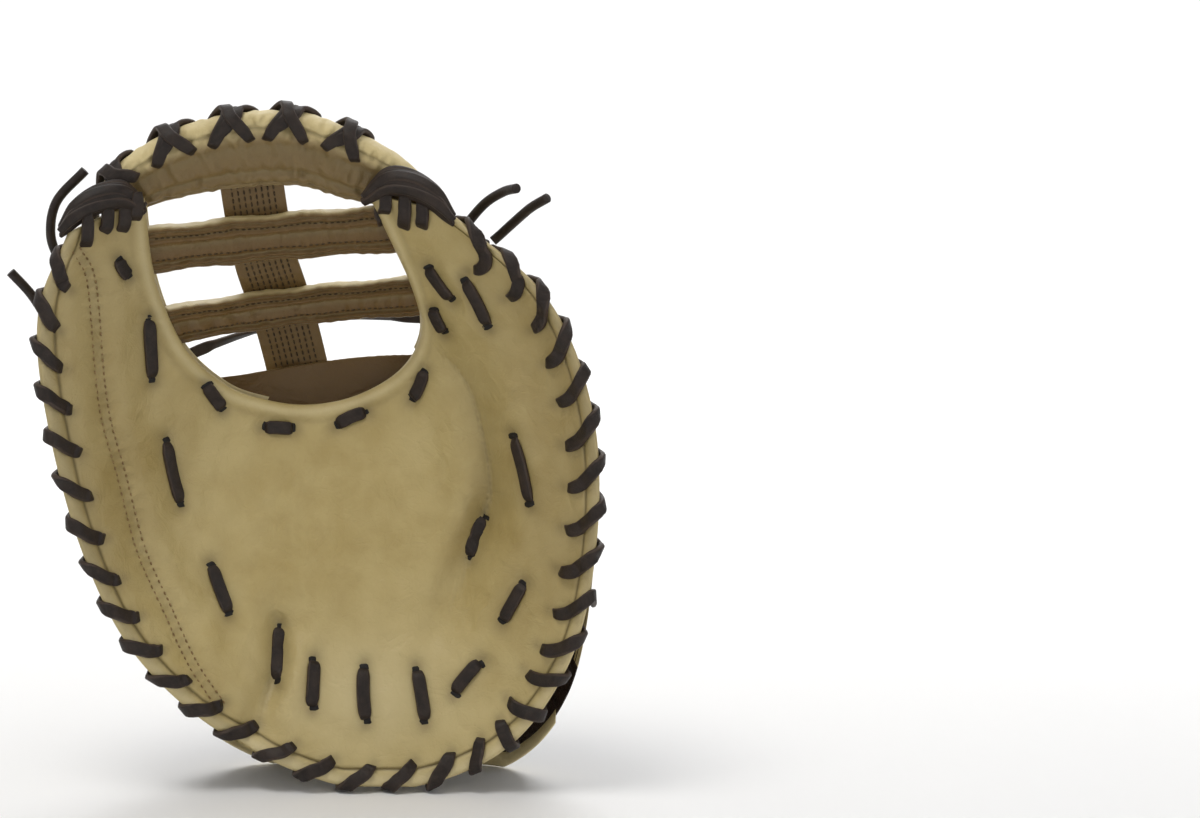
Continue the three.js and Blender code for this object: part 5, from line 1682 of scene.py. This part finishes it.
@dataclass
class Web(Assembly):
    """The web: two padded bars, the top rail, the centre strap and the rail's lacing."""

    sides: int = 96
    groove_width: float = 0.10
    bar_lean: float = 0.34
    bar_behind: float = 0.6
    bar_puff: float = 3.0
    bar_grooves: tuple = (
        (0.8, 1.5), (1.15, 1.9), (1.5, 1.7), (1.9, 1.9), (2.3, 1.4), (-1.35, 1.7), (-1.62, 1.3), (-1.9, 1.7),
    )
    rail_lean: float = 0.5
    rail_grooves: tuple = ((1.0, 1.5), (1.5, 1.2), (1.9, 1.7), (2.4, 1.4), (-1.95, 1.9), (-2.5, 1.6))
    bars: tuple = (
        ("web_bar_upper", 22.0, 8.0, 19.0, (-84, 248), (42, 259)),
        ("web_bar_lower", 18.0, 8.0, 25.0, (-73, 213), (50, 227)),
    )
    rail: tuple = (
        (-99, 1, 264, 20, 8), (-84, 2, 279, 27, 10), (-61, 4, 289, 34, 12), (-35, 6, 294, 37, 12),
        (-10, 6, 294, 36, 12), (12, 4, 287, 33, 12), (31, 2, 279, 27, 10), (46, 1, 267, 20, 8),
    )
    strap: tuple = (
        (-35, 15.4, 292), (-33, 17.6, 281), (-31, 21.6, 267), (-29, 26.6, 254), (-26, 34, 240), (-21, 43.4, 224),
        (-16, 52.5, 206), (-12, 59, 189), (-9, 58.6, 176), (-7, 58.8, 162),
    )
    tabs: tuple = (
        ("upper_tab_thumb", (-68, 249.5), (-96, 245), 20.0), ("upper_tab_finger", (26, 257.5), (56, 259), 19.0),
        ("lower_tab_thumb", (-60, 214.5), (-92, 210), 17.0), ("lower_tab_finger", (33, 225.5), (60, 227.5), 17.0),
    )
    tab_thick: float = 3.6
    strap_width: float = 29.0
    strap_thick: float = 4.5
    strap_rows: tuple = (-0.62, -0.22, 0.22, 0.62)
    lace_groups: tuple = (-88, -66, -41, -17, 7)
    lace_spread: float = 0.37
    lace_reach: float = 1.42
    tips: tuple = (
        (0, ((-117, -20, 259), (-110, -19, 267), (-100, -16, 272.5), (-89, -12, 274), (-80, -8, 268)),
         ((-105, 12), (-97, 9), (-89, 13), (-83.5, 10)), ((-102, 10), (-88, 10))),
        (-1, ((58, -19, 264), (50, -18, 273), (39, -14, 279), (28, -10, 279.5), (18, -6, 272)),
         ((45, 12), (37, 14.5), (28, 9), (21, 12)), ((44, 10), (28, 10))),
    )
    bundle_strands: int = 7
    bundle_radius: float = 5.2
    bundle_taper: float = 0.6
    bundle_start: float = -0.9
    bundle_turn: float = 3.1

    def sections(self, path: Array, tall: Array, thin: Array, lean: float,
                 grooves: Sequence[tuple[float, float]]) -> tuple[Array, Array]:
        """Give rounded sections along a bar.

        Args:
            path: The bar's middle line.
            tall: Its height at each station.
            thin: Its thickness at each station.
            lean: How far its top leans forward.
            grooves: Angle round the section and depth of each channel.

        Returns:
            The rings and the angles of their points.
        """
        high, deep = across_leaning(np.gradient(path, axis=0), lean)
        angles = np.linspace(0, 2 * np.pi, self.sides, endpoint=False)
        a, b = boxed(angles)
        cut = sum(depth * peak(turned_by(angles, at), self.groove_width) for at, depth in grooves)
        rings = (path[:, None] + high[:, None] * (a[None, :, None] * tall[:, None, None] / 2)
                 + deep[:, None] * (b[None, :, None] * (thin[:, None, None] / 2 - cut[None, :, None])))
        return rings, angles

    @staticmethod
    def dress(rings: Array, angles: Array, grooves: Sequence[tuple[float, float]]) -> dict[str, Array]:
        """Give a bar's facts: painted shade in its channels and over its side towards the palm."""
        count = len(rings)
        # Painted shade over the side towards the palm; the other side keeps the usual paleness.
        shade = 0.95 * smooth((np.tile(np.sin(angles), count) - 0.1) / 0.5)
        # Painted shade in the channels.
        channel_shade = sum(0.3 * depth * peak(angles - at, 0.06) for at, depth in grooves if at > 0)
        facts = plain(len(shade), wear=0.25 * (1 - shade))
        return {**facts, "hollow": np.tile(np.clip(channel_shade, 0, 0.8), count), "shade": shade}

    def add_bar(self, spec: tuple) -> bpy.types.Object:
        """Build one padded bar."""
        name, height, thick, bow, left, right = spec
        t = np.linspace(0, 1, 110)
        ends = [nearest_behind(*p) + thick / 2 + 1 for p in (left, right)]
        path = np.stack([low + (high - low) * t for low, high in zip((left[0], ends[0], left[1]),
                                                                     (right[0], ends[1], right[1]))], axis=1)
        path[:, 1] += bow * np.sin(np.pi * t) + self.bar_behind
        tall = height * (1 + 0.05 * np.sin(t * 23 + bow))
        thin = np.full(len(t), thick + self.bar_puff)
        rings, angles = self.sections(path, tall, thin, self.bar_lean, self.bar_grooves)
        rings += crumple(rings, 0.7, bow)
        body = tube_of(name + "_pad", rings, self.finishes.web, facts=self.dress(rings, angles, self.bar_grooves))
        keep(body, Slot.TAN, name)
        for label, thread, places in (("_thread", self.finishes.gold, (-1.48, -1.76)),
                                      ("_inner_thread", self.finishes.shaded_web_thread, (1.2, 1.7))):
            rows = [self.row_on(rings, angles, at) for at in places]
            self.sew(name + label, rows, thread, Pitch=2.8, Length=2.0)
        return body

    @staticmethod
    def row_on(rings: Array, angles: Array, at: float) -> tuple[Array, Array]:
        """Give a row along a bar at one angle round it, for thread.

        Args:
            rings: The bar's rings.
            angles: The angles of a ring's points.
            at: The row's angle.

        Returns:
            Its points and normals, in the row frame.
        """
        k = int(np.abs(turned_by(angles, at)).argmin())
        line = rings[6:-6, k]
        out = line - rings[6:-6].mean(axis=1)
        out[:, 0] = 0
        out = unit(out)
        return to_row(line + out * 0.15), out

    def add_rail(self) -> bpy.types.Object:
        """Build the padded top rail."""
        table = catmull(np.array(self.rail, dtype=float), np.linspace(0.02, len(self.rail) - 1.02, 190))
        rings, angles = self.sections(table[:, :3], table[:, 3], table[:, 4] + 1, self.rail_lean, self.rail_grooves)
        rings += crumple(rings, 1.1, 3.0)
        facts = self.dress(rings, angles, self.rail_grooves)
        # Painted shade, kept to the rail's lower front.
        facts["shade"] *= np.tile(smooth((0.6 - np.cos(angles)) / 0.5), len(rings)) * 0.85
        body = tube_of("rail_pad", rings, self.finishes.web, facts=facts)
        keep(body, Slot.TAN, "web_top_rail")
        rows = [self.row_on(rings, angles, at) for at in (-2.1, -2.35)]
        self.sew("rail_thread", rows, self.finishes.gold, Pitch=2.8, Length=2.0)
        return body

    def over_rail(self, place: float, sense: int, reach: float) -> tuple[Array, Array]:
        """Give one lace that crosses the rail's top from a hole in front to one behind.

        Args:
            place: Where it crosses, counted in the rail's stations.
            sense: Which way it crosses, -1 or 1.
            reach: How far round the rail its ends come.

        Returns:
            Its points and normals, in the row frame.
        """
        shares = np.linspace(-1, 1, 41)
        places = place + sense * shares * self.lace_spread
        at, step = (catmull(np.array(self.rail, dtype=float), places + ahead) for ahead in (0, 0.02))
        high, deep = across_leaning(step[:, :3] - at[:, :3], self.rail_lean)
        tall, thin = at[:, 3] / 2, at[:, 4] / 2 + 0.5
        turn = np.sign(shares) * np.abs(shares) ** 0.7 * reach
        a, b = (share * half for share, half in zip(boxed(turn), (tall, thin)))
        normal = unit(high * (a / tall ** 2)[:, None] + deep * (b / thin ** 2)[:, None])
        lift = 1.4 + (2.0 if sense > 0 else 0) * peak(shares, 0.45)
        lift = lift - 4.5 * (np.maximum(np.abs(shares) - 0.8, 0) / 0.2) ** 1.6
        line = at[:, :3] + high * a[:, None] + deep * b[:, None] + normal * lift[:, None]
        return to_row(line), normal

    def add_rail_lace(self, leather: Sequence[bpy.types.Object]) -> None:
        """Cross the rail's lacing over its top, and bind its ends to the two tips.

        Args:
            leather: The leather that the tips' lacing lies on.
        """
        x_of = np.array([row[0] for row in self.rail], dtype=float)
        places = np.interp(self.lace_groups, x_of, np.arange(len(x_of)))
        paths = []
        for place in places.tolist():
            paths += [self.over_rail(place, -1, self.lace_reach), self.over_rail(place, 1, self.lace_reach),
                      self.over_rail(place + 0.14, -1, 1.05)]
        strands: list[tuple[Array, Array]] = []
        grounds = Ground(leather[1], side=-1), Ground(*leather, side=1)
        for row, axis, *legs in self.tips:
            corner, inner = SECTIONS[row, :2], SECTIONS[row, 3:5]
            strands += self.tip_strands(axis)
            for ground, places in zip(grounds, legs):
                for x, reach in places:
                    edge = corner[1] + (inner[1] - corner[1]) * (x - corner[0]) / (inner[0] - corner[0])
                    paths.append(self.tip_leg(ground, x, float(edge), reach))
        self.lace("rail_lace_run", paths, "rail_lace", taper=0.25, Width=6.0, Thickness=2.5)
        self.lace("tip_strands", strands, taper=0.35, Width=5.2, Thickness=3.2, Rounding=1.5)

    def tip_strands(self, axis: Sequence[Sequence[float]]) -> list[tuple[Array, Array]]:
        """Give the strands drawn along a tip's edge, one beside the other round their axis."""
        line = curve_through(axis, 41)
        t = np.linspace(-1, 1, len(line))
        made = []
        for k in range(self.bundle_strands):
            turn = self.bundle_start + self.bundle_turn * k / (self.bundle_strands - 1) + 0.3 * (-1) ** k * t
            radius = (self.bundle_radius + 0.8 * (k % 2)) * (1 - self.bundle_taper * np.abs(t) ** 3)
            out = np.stack([0 * t, -np.cos(turn), np.sin(turn)], axis=1)
            made.append((to_row(line + out * radius[:, None]), out))
            if k % 3 == 1:
                made.append((to_row(line + out * radius[:, None] * 0.4), out))
        return made

    def tip_leg(self, ground: Ground, x: float, edge: float, reach: float) -> tuple[Array, Array]:
        """Give one leg from under the strands to its hole.

        Args:
            ground: The leather that it lies on.
            x: Where it comes down.
            edge: The z of the tip's edge there.
            reach: How far below the edge its hole is.

        Returns:
            Its points and normals.
        """
        touched = [ground.touch(x + lean, edge - down) for down, lean in ((3, 0.0), (0.6 * reach, -0.4), (reach, -1.4))]
        (first, up), (second, _), (last, _) = touched
        path = [first + up * 2.5 * MM + np.array([0, 0, 8 * MM]), first + up * 1.5 * MM, second + up * 1.2 * MM,
                last - up * 2.5 * MM]
        line = curve_through([point.tolist() for point in path], 25)
        return line, np.tile(up, (len(line), 1))

    def add_centre_strap(self) -> None:
        """Build the sewn strap down the middle of the web, with its laces and rows of thread."""
        line = curve_through(self.strap, 110)
        along = unit(np.gradient(line, axis=0))
        across = unit(np.cross(along, np.array([0, 1.0, 0])))
        out = np.cross(across, along)
        r = np.linspace(-1, 1, 41)
        channels = sum(0.8 * peak(r - at, 0.05) for at in self.strap_rows)
        rise = self.strap_thick * np.clip(1 - np.abs(r) ** 8, 0, 1) ** 0.5 - channels + 0.3
        under, over = np.stack([r, 0 * r], axis=1), np.stack([r, np.maximum(rise, 0.3)], axis=1)[::-1]
        shape = np.concatenate([under, over])
        rings = (line[:, None] + across[:, None] * (shape[None, :, 0:1] * self.strap_width / 2)
                 + out[:, None] * shape[None, :, 1:2])
        facts = plain(len(line) * len(shape))
        # Painted shade over the strap's front, towards the palm.
        facts["shade"] = np.tile(np.where(shape[:, 1] <= 0, 0.9, 0), len(line))
        body = tube_of("centre_strap_pad", rings, self.finishes.web, facts=facts)
        keep(body, Slot.TAN, "web_centre_strap")
        ground = Ground(body, side=1)
        part = slice(4, -4)
        rows = [ground.lay((line[part] + across[part] * at * self.strap_width / 2)[:, [0, 2]], 0.12)
                for at in self.strap_rows]
        self.sew("strap_rows", rows, self.finishes.gold, Pitch=2.6, Length=2.0)
        part = slice(4, -14)
        rows = [(to_row(line[part] + across[part] * at * self.strap_width / 2 - out[part] * 0.1), -out[part])
                for at in np.linspace(-0.66, 0.66, 8)]
        self.sew("strap_inner_rows", rows, self.finishes.shaded_web_thread, Pitch=3.2, Length=2.7, Thickness=1.0)
        paths = []
        for row in (12, 98):
            centre, side = line[row], across[row]
            ends = [(centre[0] + s * side[0] * 9.5, centre[2] + s * side[2] * 9.5) for s in (-1, 1)]
            paths.append(short_lace(ground, ends, 1.0))
        self.lace("centre_strap_laces", paths)

    def add_tab(self, name: str, ground: Ground, root: Sequence[float], tip: Sequence[float], width: float) -> None:
        """Build a bar's end, sewn over the band.

        Args:
            name: The piece's name.
            ground: The bands and the bars.
            root: The x and z where it leaves the bar.
            tip: The x and z of its rounded end.
            width: Its width.
        """
        rows, cols = 46, 26
        root, tip = np.array(root, dtype=float), np.array(tip, dtype=float)
        side = across_of((root, tip))
        t = np.repeat(np.linspace(0, 1, rows), cols)
        r = np.tile(np.linspace(-1, 1, cols), rows)
        half = width / 2 * (1 - 0.12 * t) * np.sqrt(np.maximum(1 - (np.maximum(t - 0.72, 0) / 0.28) ** 2.4, 0.0))
        places = root + (tip - root) * t[:, None] + side * (half * r)[:, None]
        edge = np.minimum((1 - np.abs(r)) * 1.2, (1 - t) * 2.2)
        top = 0.3 + self.tab_thick * np.sqrt(np.clip(1 - (1 - np.clip(edge * 2.2, 0, 1)) ** 2, 0.0, 1))
        top -= 0.9 * peak(np.abs(r) - 0.24, 0.09) * smooth((0.82 - t) / 0.1)
        top *= smooth(t / 0.12) * 0.7 + 0.3
        body = laid_leather(name, ground, places, (rows, cols), top, 0.25 + 0 * t, self.finishes.web)
        keep(body, Slot.TAN)
        over = Ground(body, side=1)
        length = float(np.linalg.norm(tip - root))
        loop = [(3, 0.24), (length * 0.5, 0.24), (length * 0.78, 0.2), (length * 0.86, 0.0),
                (length * 0.78, -0.2), (length * 0.5, -0.24), (3, -0.24)]
        way = (tip - root) / length
        line = curve_through([(root + way * run + side * aside * width / 2).tolist() for run, aside in loop], 60)
        self.sew(name + "_thread", [over.lay(line, 0.12)], self.finishes.gold, Pitch=2.6, Length=1.9)

    def build(self, leather: Sequence[bpy.types.Object]) -> None:
        """Build the whole web against the palm's and the back's leather."""
        bars = [self.add_bar(spec) for spec in self.bars]
        ground = Ground(*bars, *leather, side=1)
        for name, root, tip, width in self.tabs:
            self.add_tab(name, ground, root, tip, width)
        rail = self.add_rail()
        self.add_rail_lace([rail, *leather])
        self.add_centre_strap()


@dataclass
class PullLaces(Assembly):
    """The long laces across the back, the knots and the free tails."""

    paths: tuple = (
        ("pull_lace_upper", ((80, 210), (60, 213), (36, 214, 49), (8, 213, 57), (-14, 210, 61.5), (-34, 206, 56),
                             (-54, 200, 47), (-72, 192), (-88, 183)), (-14, 210, 61.5)),
        ("pull_lace_lower", ((86, 144), (58, 134), (28, 129), (4, 129), (-24, 131), (-52, 137), (-84, 148)), (5, 129)),
    )
    tails: tuple = (
        ("finger_knot_upper", 62, 256, ((4, 0, 6), (10, -6, 13), (17, -15, 18), (22, -25, 20))),
        ("finger_knot_lower", 71, 247.5, ((6, 0, 5), (13, -5, 12), (20, -13, 19), (27, -21, 24))),
        ("thumb_knot_upper", -111, 236, ((-6, 0, 7), (-10, -1, 19), (-7, -2, 34), (6, -4, 48))),
        ("thumb_knot_lower", -112, 208, ((-7, 0, 5), (-13, -2, 13), (-19, -4, 22), (-27, -6, 31))),
    )
    tail_radius: float = 2.2
    lace_knot: tuple[float, float, float] = (19.0, 13.0, 7.5)
    tail_knot: tuple[float, float, float] = (10.5, 9.0, 5.5)
    clearance: float = 1.3

    def knot(self, centre: Array, normal: Array, size: tuple[float, float, float]) -> tuple[Array, Array]:
        """Give the path of a tight knot.

        Args:
            centre: Its middle, in the row frame.
            normal: The direction that it stands out in.
            size: Its length, height and thickness, in millimetres.

        Returns:
            Its points and normals.
        """
        t = np.linspace(0, 2 * np.pi, 61)
        trefoil = (np.sin(t) + 2 * np.sin(2 * t)) / 3, (np.cos(t) - 2 * np.cos(2 * t)) / 3, -np.sin(3 * t)
        shape = np.stack(trefoil, axis=1)
        side = unit(np.cross(normal, [0, 0, 1.0]))
        tall = np.cross(side, normal)
        axes = np.stack([side * size[0] / 2, tall * size[1] / 2, normal * size[2] / 2])
        points = centre + (shape @ axes) * MM
        ups = points - centre + normal * 0.002
        return points, unit(ups)

    def build(self, ground: Ground) -> None:
        """Build the long laces, then the knots and tails near the tips."""
        for name, path, knot in self.paths:
            loops = [self.long_lace(ground, path), self.knot(*self.spot(ground, knot, 3.0), self.lace_knot)]
            self.lace(name + "_run", loops, name, Width=5.8, Thickness=2.0)
        for name, x, z, tail in self.tails:
            centre, normal = self.spot(ground, (x, z), 2.2)
            loops = [self.knot(centre, normal, self.tail_knot)]
            self.lace(name + "_tied", loops, name, Width=4.2, Thickness=1.8)
            self.add_tail(name.replace("knot", "tail"), self.spot(ground, (x, z), 2.9)[0], tail)

    @staticmethod
    def spot(ground: Ground, place: Sequence[float], lift: float) -> tuple[Array, Array]:
        """Give a place over the leather, or one that is given with its own depth.

        Args:
            ground: The back's leather.
            place: Its x and z, and its depth if it hangs free.
            lift: How far a place on the leather lies off it, in millimetres.

        Returns:
            The point and the direction away from the leather.
        """
        if len(place) > 2:
            return own(place[0], place[2], place[1]), np.array([0, 1.0, 0.0])
        point, normal = ground.touch(*place)
        return point + normal * lift * MM, normal

    def long_lace(self, ground: Ground, path: Sequence[Sequence[float]]) -> tuple[Array, Array]:
        """Give a long lace across the back, its ends dipping into their holes.

        Args:
            ground: The back's leather.
            path: The places that it passes through.

        Returns:
            Its points and normals.
        """
        held = [np.concatenate(self.spot(ground, place, 1.6)) for place in path]
        fine = curve_through(held, 120)
        line, ups = fine[:, :3].copy(), unit(fine[:, 3:])
        for point in line:
            under, _ = ground.touch(point[0] / MM - SHIFT[0], point[2] / MM)
            point[1] = max(point[1], under[1] + self.clearance * MM)
        share = np.abs(np.linspace(-1, 1, len(line)))
        line -= ups * (5 * MM * (np.maximum(share - 0.93, 0) / 0.07) ** 1.4)[:, None]
        twist = 0.35 * np.sin(np.linspace(0, 9, len(line)))
        return line, unit(ups + np.cross(np.gradient(line, axis=0) / 0.002, ups) * twist[:, None])

    def add_tail(self, name: str, centre: Array, tail: Sequence[Sequence[float]]) -> None:
        route = np.concatenate([[centre], centre + np.array(tail, dtype=float) * MM])
        line = curve_through(route.tolist(), 60)
        run = np.linalg.norm(line - centre, axis=1)
        line = line[run > 4.9 * MM]
        along = unit(np.gradient(line, axis=0))
        side = unit(np.cross(along, [0, 1.0, 0]))
        up = np.cross(side, along)
        angles = np.linspace(0, 2 * np.pi, 15)[:-1]
        radius = self.tail_radius * MM
        rings = np.stack([line + side * (radius * math.cos(a)) + up * (radius * math.sin(a)) for a in angles], axis=1)
        across = np.tile(np.sin(angles), len(line)) * 0.6
        obj = tube_of(name + "_lace", rings, self.finishes.lace, row=True, facts={"across": across})
        keep(obj, Slot.LACE, name)


@dataclass
class Studio:
    """The camera, the pale floor and the soft light."""

    frame_wide: float = 1200.0
    frame_high: float = 818.0
    mm_per_pixel: float = 0.46
    mitt_at: float = 318.0
    base_at: float = 788.0
    lens: float = 100.0
    sensor: float = 36.0
    elevation: float = 7.0
    flat_radius: float = 2.2
    bend_radius: float = 1.6
    wall_top: float = 2.4
    turns: int = 64
    room: float = 0.25
    lights: tuple = (
        ("key", (-0.45, -0.7, 1.8), 0.8, 12, (1.0, 0.975, 0.93)), ("fill", (1.4, -1.6, 0.8), 1.4, 3, (1.0, 1.0, 1.0)),
        ("back_fill", (0.3, 1.3, 1.5), 1.2, 11, (1.0, 1.0, 1.0)),
    )
    paper_lights: tuple = (
        ("paper_light", 0, 1, 60), ("front_paper_light", 0, -1, 16), ("left_paper_light", -1, 0, 26),
        ("right_paper_light", 1, 0, 26),
    )

    def camera(self) -> None:
        """Aim the camera at the mitt, which stands left of the picture's middle."""
        wide = self.frame_wide * self.mm_per_pixel * MM
        away = self.lens / self.sensor * wide
        aim = Vector((0.0, 0.0, (self.base_at - self.frame_high / 2) * self.mm_per_pixel * MM))
        tilt = math.radians(self.elevation)
        data = bpy.data.cameras.new("camera")
        data.lens, data.sensor_width = self.lens, self.sensor
        data.shift_x = (self.frame_wide / 2 - self.mitt_at) / self.frame_wide
        data.clip_end = 50
        cam = bpy.data.objects.new("camera", data)
        bpy.context.scene.collection.objects.link(cam)
        cam.location = aim + Vector((0.0, -math.cos(tilt), math.sin(tilt))) * away
        cam.rotation_euler = (math.pi / 2 - tilt, 0.0, 0.0)
        bpy.context.scene.camera = cam

    def floor(self) -> None:
        """Lay the floor and curve it up all round."""
        paint = Paint("paper")
        for key, value in (("Base Color", (0.86, 0.86, 0.86, 1)), ("Roughness", 0.9), ("Specular IOR Level", 0.1)):
            paint.shader.inputs[key].default_value = value
        bend, turns = self.bend_radius, self.turns
        wall = [(self.flat_radius + bend * math.sin(a), bend * (1 - math.cos(a)))
                for a in np.linspace(0.0, math.pi / 2, 17)]
        upright = [(1.0, 0.0), *wall, (self.flat_radius + bend, self.wall_top)]
        around = [2 * math.pi * k / turns for k in range(turns)]
        points = [(r * math.cos(a), r * math.sin(a), z - 0.0001) for r, z in upright for a in around]
        faces: list[list[int]] = [list(range(turns))]
        for i in range(len(upright) - 1):
            for k in range(turns):
                m = (k + 1) % turns
                faces.append([i * turns + k, (i + 1) * turns + k, (i + 1) * turns + m, i * turns + m])
        obj = make_mesh("paper", np.array(points), faces, paint.material)

    def light(self, name: str, place: Sequence[float], size: float, power: float, colour: Colour,
              aim: Sequence[float] = (0.0, 0.0, 0.15)) -> None:
        """Hang one soft light that faces the mitt, or another aim."""
        data = bpy.data.lights.new(name, "AREA")
        data.shape, data.size, data.energy, data.color = "DISK", size, power, colour
        obj = bpy.data.objects.new(name, data)
        bpy.context.scene.collection.objects.link(obj)
        obj.location = place
        obj.rotation_euler = (Vector(aim) - Vector(place)).to_track_quat("-Z", "Y").to_euler()

    def build(self) -> None:
        """Set the studio up."""
        self.camera()
        self.floor()
        world = bpy.data.worlds.new("room")
        bpy.context.scene.world = world
        world.use_nodes = True
        sky = world.node_tree.nodes["Background"].inputs
        sky["Color"].default_value, sky["Strength"].default_value = (1, 1, 1, 1), self.room
        for spec in self.lights:
            self.light(*spec)
        for name, x, y, power in self.paper_lights:
            self.light(name, (1.2 * x, 1.2 * y, 2.4), 2.0, power, (1.0, 1.0, 1.0), aim=(3.6 * x, 3.6 * y, 0.8))
        bpy.context.scene.view_settings.view_transform = "Standard"


def main() -> None:
    """Dress the mitt in order, from the leather out to the thread."""
    logging.basicConfig(level=logging.INFO, format="%(message)s")
    Studio().build()
    tools = Finishes(), lace_tree(), stitch_tree()
    palm = Palm(*tools)
    body = palm.build()
    EdgeLace(*tools).build(palm.faces()[0])
    back = BackHand(*tools)
    ground = back.build()
    Web(*tools).build([body, *back.pieces])
    PullLaces(*tools).build(ground)


if __name__ == "__main__":
    main()
